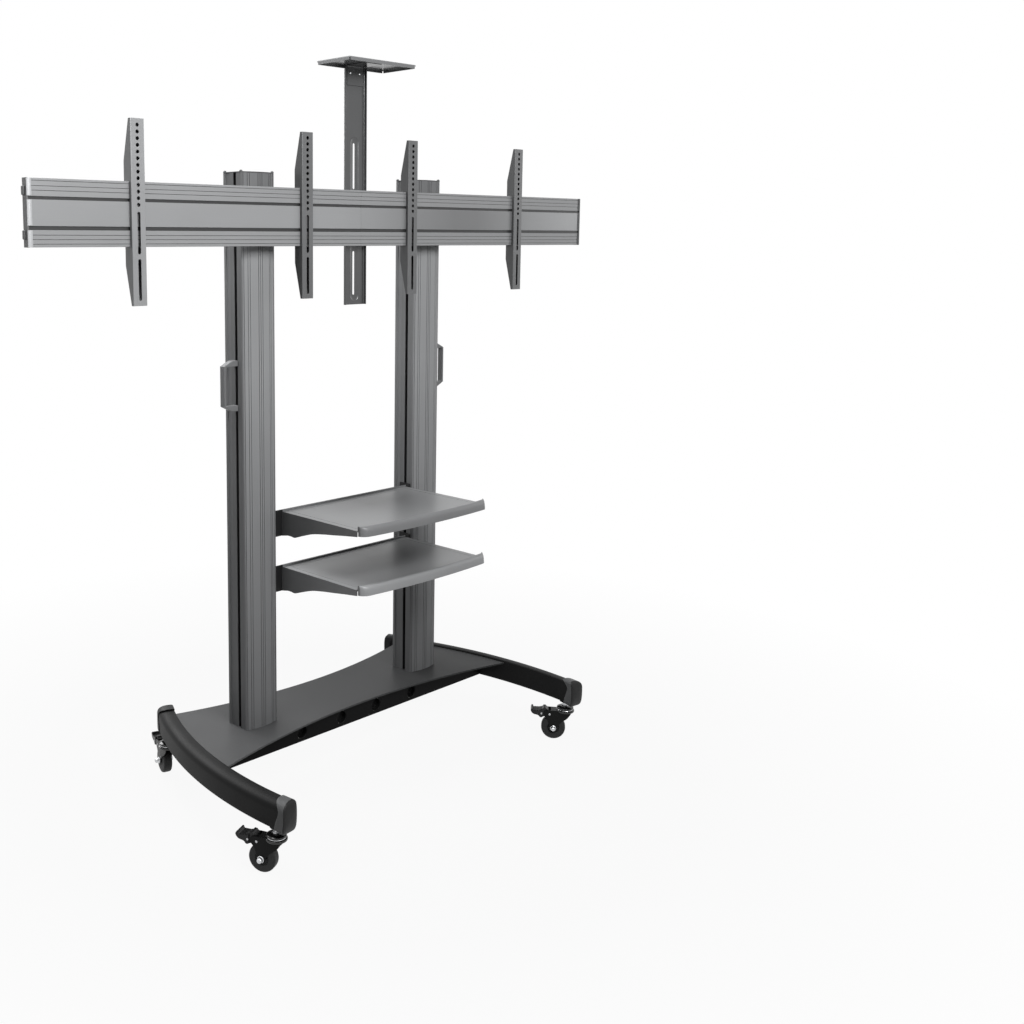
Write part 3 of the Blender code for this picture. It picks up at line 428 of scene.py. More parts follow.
def tray_painted_shade(tree):
    """Painted shade on the trays' side arms, and a painted dark reflection on the middle of their rear."""
    x, y, z = axes_of(tree)
    arms = spread(maths("ABSOLUTE", x), 0.0, 0.95, TRAY_HALF_W - 0.002, TRAY_HALF_W - 0.0008)
    middle = spread(apart(x, 0.04), 1.0, 0.15, 0.04, 0.22)
    rear = spread(y, 0.1, 1.0, COLUMN_Y - 0.29, COLUMN_Y - 0.13)
    return maths("ADD", arms, maths("MULTIPLY", middle, rear))


def bracket_painted_shade(tree):
    """Painted shade on faces that look sideways."""
    facing = node(tree, "ShaderNodeTexCoord", {}).outputs["Normal"]
    aside = node(tree, "ShaderNodeSeparateXYZ", {"Vector": facing}).outputs["X"]
    return spread(maths("ABSOLUTE", aside), 0.0, 1.0, 0.6, 0.95)


def deck_painted_shade(tree):
    """Painted shade, darker towards the deck's right-hand end."""
    return spread(axes_of(tree)[0], 0.0, 1.0, -0.4, 0.42)


def beam_painted_shade(tree):
    """Painted dark reflection in the beam's middle panel, most of all right of its centre, and painted shade
    on its bands towards the right.
    """
    x, y, z = axes_of(tree)
    inside = spread(apart(z, (BEAM_LOW + BEAM_TOP) / 2 + DATUM), 1.0, 0.0, 0.026, 0.03)
    panel = maths("MULTIPLY", spread(apart(x, 0.43), 0.8, 0.0, 0.05, 0.5), inside)
    bands = maths("MULTIPLY", spread(x, 0.0, 0.42, -0.55, 0.7), maths("SUBTRACT", 1.0, inside))
    return maths("ADD", panel, bands)


def beam_depth(tree):
    """Distance under the beam's nearest face, which sets painted shade in its grooves; the rear one is
    measured from its bands.
    """
    x, y, z = axes_of(tree)
    across = within(y, BEAM_FRONT_Y, BEAM_REAR_Y - 0.0016)
    return maths("MINIMUM", across, within(z, BEAM_LOW + DATUM, BEAM_TOP + DATUM))


# Finishes

COOL = (0.985, 1.0, 1.02)
# Grain of a finish as (scale, strength, depth)
DRAWN = (1400.0, 0.05, 0.0002)
SMOOTH = (1000.0, 0.06, 0.0002)
FINE = (1000.0, 0.1, 0.0003)
POLISHED = (900.0, 0.06, 0.0002)
MOULD = (1100.0, 0.1, 0.0002)
POWDER = (800.0, 0.14, 0.0003)


def coat(name, level, roughness, metallic, variation, grain, gloss=0.5, painted_shade_of=None, depth_of=None,
         stretch=None, streaks=0.0):
    """Painted or plated finish: cloudy tone, fine grain and, on extrusions, drawn lines; a shade function
    adds painted shade, and a depth function paints grooves and slots dark as painted shade.
    """
    material, tree, surface = shader(name)
    scale, strength, depth = grain
    plain = place(tree)
    cloud = noise(plain, 3.0, 3.0, 0.55)
    fleck = noise(plain, scale, 2.0, 0.6)
    dim, lit = shade(level * (1 - variation), COOL), shade(level * (1 + variation), COOL)
    colour = blend_colours(spread(cloud, 0.0, 1.0), dim, lit)
    colour = blend_colours(spread(fleck, 0.0, 0.35), colour, shade(level * 0.72, COOL))
    height = fleck
    if stretch:
        lines = noise(place(tree, stretch), 60.0, 3.0, 0.6)
        colour = blend_colours(spread(lines, 0.0, streaks), colour, shade(level * 1.35, COOL))
        height = maths("ADD", lines, fleck)
    # Painted shade: darker where the shade function says less light falls
    if painted_shade_of:
        colour = blend_colours(painted_shade_of(tree), colour, shade(level * 0.42, COOL))
    # Painted shade in grooves and slots: darker the deeper a point lies under the face
    if depth_of:
        colour = blend_colours(spread(depth_of(tree), 0.0, 0.88, 0.0003, 0.0009), colour, shade(0.0))
    bump = node(tree, "ShaderNodeBump", {"Strength": strength, "Distance": depth, "Height": height})
    fill(surface, {"Base Color": colour, "Roughness": spread(cloud, roughness * 0.9, roughness * 1.1),
                   "Metallic": metallic, "Specular IOR Level": gloss, "Normal": bump.outputs["Normal"]})
    return material


def metal(name, level, roughness):
    """Plated bare metal with faint turning marks."""
    material, tree, surface = shader(name)
    plain = place(tree)
    marks = noise(plain, 420.0, 3.0, 0.6)
    cloud = noise(plain, 30.0, 2.0, 0.5)
    colour = blend_colours(spread(cloud, 0.0, 1.0), shade(level * 0.82, COOL), shade(level, COOL))
    bump = node(tree, "ShaderNodeBump", {"Strength": 0.05, "Distance": 0.0002, "Height": marks})
    fill(surface, {"Base Color": colour, "Roughness": spread(marks, roughness * 0.7, roughness * 1.4),
                   "Metallic": 1.0, "Normal": bump.outputs["Normal"]})
    return material


# Each coat has a level of grey, a roughness, a metallic share, a variation of its tone, a grain and a gloss
# Coats given a shade function carry painted shade; the column and beam coats also paint shade into their
# grooves
COLUMN_COAT = coat("column_coat", 0.36, 0.48, 0.0, 0.03, DRAWN, 0.14, column_painted_shade, column_depth,
                   (14, 14, 0.12), 0.1)
BEAM_COAT = coat("beam_coat", 0.33, 0.4, 0.25, 0.03, DRAWN, 0.5, beam_painted_shade, beam_depth, (0.12, 14, 14), 0.08)
DECK_COAT = coat("deck_coat", 0.098, 0.46, 0.0, 0.1, (700.0, 0.16, 0.0004), 0.1, deck_painted_shade)
LEG_COAT = coat("leg_coat", 0.006, 0.5, 0.0, 0.12, (620.0, 0.3, 0.0005), 0.1)
MOULDED = coat("moulded_grey", 0.095, 0.44, 0.0, 0.06, MOULD, 0.2)
# Darker copy of the moulded grey: painted shade on the rear leg caps
MOULDED_REAR_SHADE = coat("moulded_rear_painted_shade", 0.03, 0.46, 0.0, 0.1, (900.0, 0.12, 0.0003), 0.1)
MOULDED_DARK = coat("moulded_dark", 0.016, 0.42, 0.0, 0.08, MOULD, 0.2)
BLACK_PLASTIC = coat("black_plastic", 0.01, 0.45, 0.0, 0.1, (1000.0, 0.1, 0.0002), 0.15)
BLACK_COAT = coat("black_coat", 0.005, 0.44, 0.0, 0.1, POWDER, 0.05)
BRACKET_COAT = coat("bracket_coat", 0.17, 0.32, 0.2, 0.07, FINE, 0.3, bracket_painted_shade)
# Brighter copy of the bracket coat: a painted highlight on the first display bracket
LIT_BRACKET_COAT = coat("lit_bracket_coat", 0.36, 0.3, 0.2, 0.07, FINE, 0.5, bracket_painted_shade)
RAIL_COAT = coat("rail_coat", 0.022, 0.42, 0.0, 0.1, POWDER, 0.1)
TRAY_COAT = coat("tray_coat", 0.22, 0.36, 0.1, 0.08, FINE, 0.32, tray_painted_shade)
# Brighter copy of the tray coat: painted light on the lower tray, which the upper tray shades
LOW_TRAY_PAINTED_LIGHT = coat("low_tray_painted_light", 0.33, 0.36, 0.1, 0.08, FINE, 0.36, tray_painted_shade)
# Brighter copy of the bar's gloss coat: painted light on the camera shelf, whose underside the floor lights
PLATFORM_PAINTED_LIGHT = coat("platform_painted_light", 0.19, 0.26, 0.3, 0.08, POLISHED)
GLOSS_COAT = coat("gloss_coat", 0.1, 0.24, 0.4, 0.08, POLISHED)
DARK_STEEL = coat("dark_steel", 0.022, 0.3, 0.4, 0.1, (700.0, 0.08, 0.0002))
HANDLE_COAT = coat("handle_coat", 0.22, 0.4, 0.0, 0.08, (1000.0, 0.08, 0.0003), 0.16)
CAP_COAT = coat("cap_coat", 0.15, 0.38, 0.15, 0.07, (1000.0, 0.08, 0.0002))
TRIM_DARK = coat("trim_dark", 0.13, 0.4, 0.0, 0.05, SMOOTH, 0.14)
# Bright trim of the left-hand beam end: a painted highlight
TRIM_HIGHLIGHT = coat("trim_painted_highlight", 0.52, 0.34, 0.5, 0.05, SMOOTH)
RING = coat("ring_plastic", 0.3, 0.34, 0.0, 0.06, SMOOTH)
FORK_COAT = coat("fork_coat", 0.006, 0.24, 0.0, 0.1, (800.0, 0.1, 0.0003), 0.12)
PEDAL_COAT = coat("pedal_coat", 0.016, 0.3, 0.0, 0.1, (800.0, 0.1, 0.0003), 0.25)
TYRE = coat("tyre_rubber", 0.016, 0.58, 0.0, 0.12, (500.0, 0.22, 0.0005), 0.3)
GLOSS_BLACK = coat("gloss_black", 0.008, 0.13, 0.0, 0.08, (900.0, 0.04, 0.0002))
HUB = coat("hub_plastic", 0.008, 0.42, 0.0, 0.1, (700.0, 0.12, 0.0003), 0.25)
PIN = metal("rivet_steel", 0.42, 0.34)
ZINC = metal("zinc", 0.62, 0.28)
BRIGHT = metal("bright_metal", 0.82, 0.14)


# Base: legs, caps, deck and crossmember

LEG_ARC_R = 1.18
LEG_APEX_X = 0.568
LEG_APEX_Y = COLUMN_Y - 0.29
LEG_FRONT_Y = COLUMN_Y - 0.4225
LEG_REAR_Y = COLUMN_Y + 0.2252
LEG_HALF_W = 0.021
LEG_LOW = 0.1165
LEG_RIDGE = 0.1832
LEG_SHOULDER = 0.16
LEG_INNER_ROUND = 0.0045
LEG_LOW_ROUND = 0.006
LEG_FIT = 0.0008
CAP_RIDGE = 0.1878
CAP_SHOULDER = 0.163
CAP_INNER_ROUND = 0.009
CAP_HALF_W = 0.023
CAP_LOW = 0.111
CAP_SEAT = 0.042
CAP_UNDERSIDE = 0.1119
STEM_IN_LEG = 0.028
STEM_TOP = 0.148
STEM_BORE = 0.0058


def with_steps(points, count):
    """Closed outline with extra points along its long straight sides."""
    made = []
    for start, end in zip(map(Vector, points), map(Vector, points[1:] + points[:1])):
        parts = count if (end - start).length > 0.012 else 1
        made += [tuple(start.lerp(end, step / parts)) for step in range(parts)]
    return made


def domed_section(half_width, low, shoulder, ridge, inner_round, low_round, steps=8):
    """Upright outline with a straight inner side and a top that falls to the outer side."""
    crest = -half_width + inner_round
    points = []
    for step in range(2 * steps + 1):
        angle = QUARTER * step / (2 * steps)
        across, rise = math.cos(angle) ** 0.78, math.sin(angle) ** 0.78
        points.append((crest + (half_width - crest) * across, shoulder + (ridge - shoulder) * rise))
    points += quarter_arc(crest, ridge - inner_round, inner_round, 1, steps)[1:]
    points += quarter_arc(-half_width + low_round, low + low_round, low_round, 2, steps)
    points += quarter_arc(half_width - low_round, low + low_round, low_round, 3, steps)
    return points if steps < 10 else with_steps(points, 10)


def level_at(line, height):
    """Value of a line of (height, value) points at a height."""
    for (low, first), (high, second) in zip(line, line[1:]):
        if height <= high:
            share = max((height - low) / (high - low), 0.0)
            return first + (second - first) * share
    return line[-1][1]


def leg_place(side, y, across=0.0, height=0.0):
    """Point beside the leg's centreline at a given Y of that line."""
    angle = math.asin((y - LEG_APEX_Y) / LEG_ARC_R)
    radius = LEG_ARC_R + across
    x = LEG_APEX_X - LEG_ARC_R + radius * math.cos(angle)
    return side * x, LEG_APEX_Y + radius * math.sin(angle), height


def leg_end(side, end):
    """Plan point of a leg end and the turn that points +Y outward along the leg."""
    y = LEG_FRONT_Y if end < 0 else LEG_REAR_Y
    angle = math.asin((y - LEG_APEX_Y) / LEG_ARC_R)
    return leg_place(side, y), side * (angle if end > 0 else angle + math.pi)


def caster_point(side, end):
    """Plan point of a caster stem, a little inside its leg's end."""
    (x, y, z), turn = leg_end(side, end)
    return x + math.sin(turn) * STEM_IN_LEG, y - math.cos(turn) * STEM_IN_LEG, 0


def bored(mesh, x, y, top):
    """Leg or cap with the upright hole for a caster stem."""
    return cut(mesh, rod(STEM_BORE, (x, y, CAP_LOW - 0.015), (x, y, top), 20))


def make_leg(name, side):
    """Bowed leg tube, bored for the caster stems."""
    section = domed_section(LEG_HALF_W, LEG_LOW, LEG_SHOULDER, LEG_RIDGE, LEG_INNER_ROUND, LEG_LOW_ROUND)
    count = 64
    stations = [LEG_FRONT_Y + (LEG_REAR_Y - LEG_FRONT_Y) * step / count for step in range(count + 1)]
    leg = loft([[leg_place(side, y, across, height) for across, height in section] for y in stations])
    for end in (-1, 1):
        x, y, z = caster_point(side, end)
        leg = bored(leg, x, y, STEM_TOP + FIT)
    show(f"leg_tube_{name}", shaded(leg, 35), LEG_COAT, f"leg_{name}")


# Where a cap's collar starts and where its end face lies, along the leg, as (height, distance)
COLLAR_LINE = curved(mm((111, -16.5), (118, -16), (130, -13), (145, -7.5), (157, -2.8), (165, -2),
                        (172, -5), (179, -12.5), (185, -21.5), (188.5, -25.5)))
END_LINE = curved(mm((111, 6), (113.5, 10.5), (118, 13.8), (130, 16.8), (150, 18), (170, 17.5),
                     (182, 15), (186, 12.5), (188.5, 9.5)))


def sagged(u, y, z):
    """Point of a cap moved down where it is low and near the end plate."""
    low = min(max((0.126 - z) / 0.015, 0.0), 1.0)
    front = min(max((y + 0.0165) / 0.03, 0.0), 1.0)
    return u, y, z - 0.0055 * low * front * front


def cap_mesh():
    """Moulded collar of a leg cap along +Y, with a recess for the leg."""
    outer = domed_section(CAP_HALF_W, CAP_LOW, CAP_SHOULDER, CAP_RIDGE, CAP_INNER_ROUND, 0.0125, 12)
    inner = domed_section(LEG_HALF_W + LEG_FIT, LEG_LOW - LEG_FIT, LEG_SHOULDER, LEG_RIDGE + LEG_FIT,
                          LEG_INNER_ROUND, LEG_LOW_ROUND, 12)
    rings = [[(u, LEG_FIT, z) for u, z in inner]]
    rings.append([(u, min(level_at(COLLAR_LINE, z) + 0.0003, 0.0), z) for u, z in inner])
    for share, shift in ((0.2, 0.0), (0.5, 0.0003), (0.75, 0.001), (0.92, 0.0022)):
        lip = [tuple(Vector(a).lerp(Vector(b), share)) for a, b in zip(inner, outer)]
        rings.append([(u, level_at(COLLAR_LINE, z) + shift, z) for u, z in lip])
    for step in range(9):
        ring = []
        for u, z in outer:
            first, last = level_at(COLLAR_LINE, z) + 0.004, level_at(END_LINE, z) - 0.003
            ring.append(sagged(u, first + (last - first) * step / 8, z))
        rings.append(ring)
    return shaded(loft(rings), 32)


def end_plate_mesh():
    """Dark end plate of a leg cap with a rounded rim and a slightly domed face."""
    outer = domed_section(CAP_HALF_W - 0.0002, CAP_LOW + 0.0002, CAP_SHOULDER, CAP_RIDGE - 0.0002,
                          CAP_INNER_ROUND, 0.0123, 12)
    middle = (CAP_LOW + CAP_RIDGE) / 2
    rings = [[sagged(u, level_at(END_LINE, z) - 0.0027, z) for u, z in outer]]
    for share, depth in ((1.0, 0.0018), (0.985, 0.0009), (0.95, 0.0002), (0.9, -0.0002), (0.8, -0.0007),
                         (0.65, -0.0012), (0.45, -0.0016), (0.22, -0.0018), (0.04, -0.0019)):
        level = [(u * share, middle + (z - middle) * share) for u, z in outer]
        rings.append([sagged(u, level_at(END_LINE, z) - depth, z) for u, z in level])
    return shaded(loft(rings), 60)


def seat_mesh():
    """Wall of a leg cap below the leg, with the hole for the stem."""
    low = CAP_LOW + 0.0012
    front = -0.012
    half = CAP_HALF_W - 0.007
    round_y = 0.012 - CAP_SEAT
    plan = [(-half, front), (-half, round_y), *quarter_arc(-half + 0.012, round_y, 0.012, 2, 6),
            *quarter_arc(half - 0.012, round_y, 0.012, 3, 6), (half, front)]
    wall = softened(prism([plan], low, LEG_LOW - LEG_FIT), 0.0006)
    return shaded(bored(wall, 0, -STEM_IN_LEG, 0.13), 30)


def make_leg_cap(name, side, end):
    """Cap: collar, dark end plate and the wall that holds the caster stem; the collar is light at the front
    and darker at the rear as painted shade.
    """
    spot, turn = leg_end(side, end)
    part = f"leg_cap_{name}"
    shell, plate = sided(side * end, cap_mesh()), sided(side * end, end_plate_mesh())
    # Rear caps get the darker copy of the moulded grey as painted shade
    show(f"leg_cap_shell_{name}", placed(shell, spot, turn), MOULDED if end < 0 else MOULDED_REAR_SHADE, part)
    add(f"leg_cap_plate_{name}", placed(plate, spot, turn), MOULDED_DARK, part)
    add(f"leg_cap_seat_{name}", placed(seat_mesh(), spot, turn), BLACK_PLASTIC, part)


for name, side in SIDES:
    make_leg(name, side)
    make_leg_cap(f"front_{name}", side, -1)
    make_leg_cap(f"rear_{name}", side, 1)
for name, part, paint, width in (("deck_plate", "base_deck", DECK_COAT, 0.0008),
                                 ("crossmember_channel", "base_crossmember", BLACK_COAT, 0.0006)):
    show(name, softened(NODES[part].data.copy(), width), paint, part, rise=0.0)


# Dark blind cups in the holes of the crossmember's two walls: dark sheets that stand in for the shade inside
# the channel

CROSS_HALF_D = 0.088
CROSS_HOLE_Z = 0.14535
CROSS_HOLES_X = (-0.216, -0.068, 0.068, 0.216)
CUP_R = 0.0187


def cup_mesh(facing):
    """Blind cup with a thin rim that opens to the front or the rear; a dark sheet for the painted shade
    inside a hole.
    """
    wall = mm((-1.6, 16.5), (-1.2, 16), (-1, 0.8), (-0.5, 0.4), (0, 0.6), (0, 18), origin=(CUP_R, 0))
    profile = mm((0, 16.5)) + wall + mm((0, 18))
    return shaded(lathe([(radius, -facing * depth) for radius, depth in profile], 40, "Y"), 30)


cups = [placed(cup_mesh(facing), (x, COLUMN_Y + facing * CROSS_HALF_D, CROSS_HOLE_Z))
        for facing in (-1, 1) for x in CROSS_HOLES_X]
add("crossmember_hole_shade_cups", together(cups), BLACK_PLASTIC, "base_crossmember")


# Casters

# Side, end of the leg and heading in degrees of each caster
CORNERS = {"front_left": (-1, -1, 114.0), "front_right": (1, -1, 127.0), "rear_left": (-1, 1, 73.0),
           "rear_right": (1, 1, 109.0)}
WHEEL_R = 0.0355
WHEEL_HALF_W = 0.0125
AXLE_Z = WHEEL_R - DATUM
CASTER_TRAIL = 0.034
FORK_GAP_HALF = 0.014
FORK_OUT = FORK_GAP_HALF + 0.0022
AXLE_R = 0.004
AXLE_BORE = AXLE_R + FIT
PEDAL_PIVOT_AFT = 0.0455
PEDAL_PIVOT_Z = 0.073
BEND_X = 0.0245
STEM_SLEEVE_R = 0.0056


def hexagon(radius, low, high, bore):
    """Hexagonal nut with chamfered corners, standing on Z."""
    nut = prism([arc((0, 0), radius, math.pi / 6, math.pi * 11 / 6, 5)], low, high)
    chamfer = lathe([(0.0, low), (radius * 0.9, low), (radius, low + radius * 0.08),
                     (radius, high - radius * 0.1), (radius * 0.88, high), (0.0, high)], 36)
    nut = combined(nut, chamfer, "INTERSECT")
    return softened(cut(nut, rod(bore, (0, 0, low - 0.001), (0, 0, high + 0.001), 20)), 0.0002)


def slab(outline, half_width):
    """Side outline in (x, z) extruded to both sides of the middle."""
    return prism([outline], -half_width, half_width, "Y")


def fork_mesh():
    """Pressed fork: two side plates folded inward at the front under a hood."""
    front = curved(mm((-19, 85), (-17.2, 77), (-6.4, 61.6), (6, 53), (13.9, 45.8), (20.5, 37),
                      (23.6, 29)), 4)
    low = arc((CASTER_TRAIL, AXLE_Z), 0.0108, math.radians(196), math.radians(344), 14)
    rear = curved(mm((44.6, 30), (46.8, 43), (50, 54), (56.6, 62.6), (62.2, 69), (63, 76.5),
                     (59, 82.5), (50, 85)), 4)
    fork = slab(front[:-1] + low + rear[1:], FORK_OUT)
    gap = mm((-100, -10), (100, -10), (100, 100), (42, 100), (42, 80), (-100, 80))
    fork = cut(fork, slab(gap, FORK_GAP_HALF))
    for x, z, radius in ((CASTER_TRAIL, AXLE_Z, AXLE_BORE), (PEDAL_PIVOT_AFT, PEDAL_PIVOT_Z, 0.0027)):
        fork = cut(fork, rod(radius, (x, -0.03, z), (x, 0.03, z), 20))
    bm = opened(fork)
    bmesh.ops.bisect_plane(bm, geom=bm.verts[:] + bm.edges[:] + bm.faces[:], plane_co=(BEND_X, 0, 0),
                           plane_no=(1, 0, 0))
    for vertex in bm.verts:
        if vertex.co.x < BEND_X and abs(vertex.co.y) > 0.005:
            vertex.co.y *= 1.0 - 5.0 * (BEND_X - vertex.co.x)
    return softened(finished(bm), 0.0005, 24, 2, 24)


def rim(radius, height, reach, rise):
    """Profile points of a rounded rim."""
    return [(radius + reach * math.cos(angle), height + rise * math.sin(angle))
            for angle in (1.3, 0.9, 0.45, 0.0, -0.45, -0.9, -1.3)]


def head_mesh():
    """Ball race head of the fork, with two rounded rims."""
    profile = mm((0, 97.8), (8, 97.8), (8.6, 97), (10.6, 97), (11.6, 98), (15, 98), (19.5, 97), (22.2, 95.6))
    profile += rim(0.0233, 0.0925, 0.0014, 0.0026) + mm((22.2, 89.2), (22.2, 87.8))
    profile += rim(0.0255, 0.084, 0.0015, 0.003) + mm((23.6, 80.6), (0, 80.6))
    return shaded(lathe(profile, 56), 38)


def race_mesh():
    """Bright bearing ring seen between the rims."""
    ring = mm((15, 87.8), (22.6, 87.9), (23, 88.4), (22.6, 89), (15, 89.1))
    return shaded(lathe(ring, 56, closed=True), 38)


def ring_mesh(radius, low, high, soft, rise, fall):
    """Ring round the stem with chamfered rims."""
    return lathe([(STEM_SLEEVE_R, low), (radius - soft, low), (radius, low + rise), (radius, high - fall),
                  (radius - soft, high), (STEM_SLEEVE_R, high)], 40, closed=True)


def stem_mesh():
    """Threaded stem, its washer, spring ring, nut and sleeve."""
    thread = mm((0, 0), (4.6, 0), (5.4, -1.3), origin=(0, STEM_TOP))
    for step in range(18):
        thread += mm((5.5, 0), (4.9, -0.9), origin=(0, STEM_TOP - 0.002 - step * 0.0018))
    thread += mm((5.5, 112.8), (5.5, 98.4), (0, 98.4))
    washer = ring_mesh(0.0095, 0.0984, 0.1003, 0.0005, 0.0004, 0.0005)
    spring = ring_mesh(0.0081, 0.1004, 0.1017, 0.0003, 0.0004, 0.0004)
    sleeve = ring_mesh(0.0072, 0.1078, CAP_UNDERSIDE, 0.0004, 0.0005, 0.0004)
    nut = hexagon(0.0088, 0.1018, 0.1077, STEM_SLEEVE_R)
    return together([lathe(thread, 28), washer, spring, nut, shaded(sleeve, 30)])


def reflected(profile):
    """Profile continued by its own reflection."""
    return profile + [(radius, -height) for radius, height in reversed(profile)]


def wheel_meshes():
    """Tyre with a rounded tread, and the dished hub inside it with its ribs."""
    side = (0, WHEEL_HALF_W)
    tyre = mm((16.8, -1.6), (17.6, -0.6), (18.2, 0), (30, 0), (30.8, -0.2), (31.6, -0.8), (33.4, -1.2),
              (34.6, -2.4), (35.2, -4), origin=side) + [(WHEEL_R, WHEEL_HALF_W - 0.0062)]
    hub = [(AXLE_BORE, WHEEL_HALF_W + 0.0007)]
    hub += mm((7.6, 0.7), (8.2, 0.2), (8.6, -1.6), (10.6, -2.8), (14.2, -2.6), (15.6, -1.2), (16.4, -1.2),
              (17, -1.8), origin=side)
    rib_half_w = WHEEL_HALF_W - 0.0016
    ribs = []
    for step in range(6):
        rib = box((0.0084, -0.0008, -rib_half_w), (0.0158, 0.0008, rib_half_w))
        ribs.append(softened(placed(rib, turn=math.radians(60 * step)), 0.0003))
    rounds = [shaded(lathe(reflected(profile), count, "Y", closed=True), 30)
              for profile, count in ((tyre, 72), (hub, 56))]
    return *rounds, placed(together(ribs), turn=-QUARTER, axis="X")


def axle_mesh():
    """Axle bolt with a domed head on a flange, and its nut and washer."""
    out = FORK_OUT + FIT
    bore = AXLE_R + 0.0001
    bolt = mm((0, 12.5), (2.6, 12.2), (4.8, 11.2), (6.2, 9.6), (6.8, 7.4), (7, 5), (7.2, 3.2), (7.8, 2.6),
              (8.5, 2.2), (8.8, 1.6), (8.8, 0), origin=(0, out))
    bolt += [(AXLE_R, out), (AXLE_R, -out - 0.0052)] + mm((3.4, -5.8), (0, -5.8), origin=(0, -out))
    ring = [(bore, -out - 0.001), (0.0086, -out - 0.001), (0.0086, -out), (bore, -out)]
    nut = placed(hexagon(0.0076, 0.0, 0.0042, bore), (0, -out - 0.001, 0), QUARTER, "X")
    return together([shaded(lathe(bolt, 44, "Y"), 35), shaded(lathe(ring, 40, "Y", closed=True), 30), nut])


def pedal_mesh():
    """Brake pedal: arm, stepped top with cross ribs and upturned toe plate."""
    arm = curved(mm((-9.2, -2), (-5, -5), (6, -5.8), (15, -8.2), (24, -10.8), (29, -6)), 4)
    arm += mm((29, 12), (21.5, 14), (18, 18.4), (11.8, 18.4), (8.8, 15), (4, 12.6), (1.2, 4.6), (-7.8, 4))
    hollow = mm((-12, -20), (27, -20), (27, 7), (4, 2), (-12, 1.4))
    pedal = cut(slab(arm, 0.0128), slab(hollow, 0.0104))
    toe = curved(mm((21.2, -9.8), (27.5, -10.6), (34, -4.5), (47, -1.4), (53.5, 4), (56, 9.5)), 5)
    toe += mm((55.2, 12), (52.8, 15.6), (49.6, 14.6), (48.6, 11.2), (46.6, 9.2), (30, 9.8), (21.2, 12.4))
    hollow = mm((23.5, -30), (60, -30), (53.5, 3), (51, 8), (46, 6.6), (23.5, 8))
    pedal = fused(pedal, cut(slab(toe, 0.017), slab(hollow, 0.0148)))
    for x in (0.03, 0.0365, 0.043):
        rib = mm((-1.6, 7), (1.6, 7), (1, 10.6), (-1, 10.6), origin=(x, 0))
        pedal = fused(pedal, slab(rib, 0.0152))
    return softened(pedal, 0.0005, 30, 2, 35)


def rivet_mesh(x, z, radius, out):
    """Rivet through both cheeks with domed heads."""
    head = radius + 0.0006
    dome = [(0.0, out + 0.0013), (0.0012, out + 0.0012), (head * 0.8, out + 0.0008), (head, out + 0.0003),
            (head, out), (radius - 0.0002, out)]
    return placed(shaded(lathe(reflected(dome), 28, "Y"), 35), (x, 0, z))


def make_caster(corner, side, end, heading):
    """One swivel caster with its brake, trailing towards its heading."""
    middle = (CASTER_TRAIL, 0, AXLE_Z)
    tyre, hub, ribs = (placed(mesh, middle) for mesh in wheel_meshes())
    pin = rivet_mesh(PEDAL_PIVOT_AFT, PEDAL_PIVOT_Z, 0.0026, FORK_OUT + FIT)
    toe_pin = rivet_mesh(PEDAL_PIVOT_AFT + 0.024, PEDAL_PIVOT_Z + 0.001, 0.0022, 0.0168)
    pedal = placed(pedal_mesh(), (PEDAL_PIVOT_AFT, 0, PEDAL_PIVOT_Z))
    for piece, mesh, paint, part, slot, stands_for in (
            ("nut", stem_mesh(), ZINC, "stem", None, True),
            ("plates", fork_mesh(), FORK_COAT, "fork", None, True),
            ("head", head_mesh(), GLOSS_BLACK, "fork", None, False),
            ("race", race_mesh(), BRIGHT, "fork", "zinc", False),
            ("tyre", tyre, TYRE, "wheel", None, True),
            ("hub", hub, HUB, "wheel", None, False),
            ("hub_ribs", ribs, HUB, "wheel", None, False),
            ("bolt", placed(axle_mesh(), middle), ZINC, "axle", None, True),
            ("lever", pedal, PEDAL_COAT, "pedal", None, True),
            ("pin", pin, PIN, "pedal", "zinc", False),
            ("toe_pin", toe_pin, PIN, "pedal", "zinc", False)):
        mesh = placed(mesh, caster_point(side, end), math.radians(heading))
        show(f"caster_{piece}_{corner}", mesh, paint, f"caster_{part}_{corner}", stands_for)


for corner, (side, end, heading) in CORNERS.items():
    make_caster(corner, side, end, heading)


# Columns with their caps, grommets and handles

COLUMN_WALL = 0.0035
COLUMN_LOW = 0.1783
COLUMN_TOP = 1.6535
SLOT_HALF_W = 0.00535
SLOT_DEPTH = 0.012
GROMMET_HEIGHTS = {"low": 0.289, "high": 1.4585}
GROMMET_R = 0.0285
GROMMET_HOLE_R = 0.0215


def bowed(x):
    """Depth of the column's bowed front at a distance from its middle."""
    return -COLUMN_HALF_D - COLUMN_BOW * (1 - (x / COLUMN_HALF_W) ** 2)


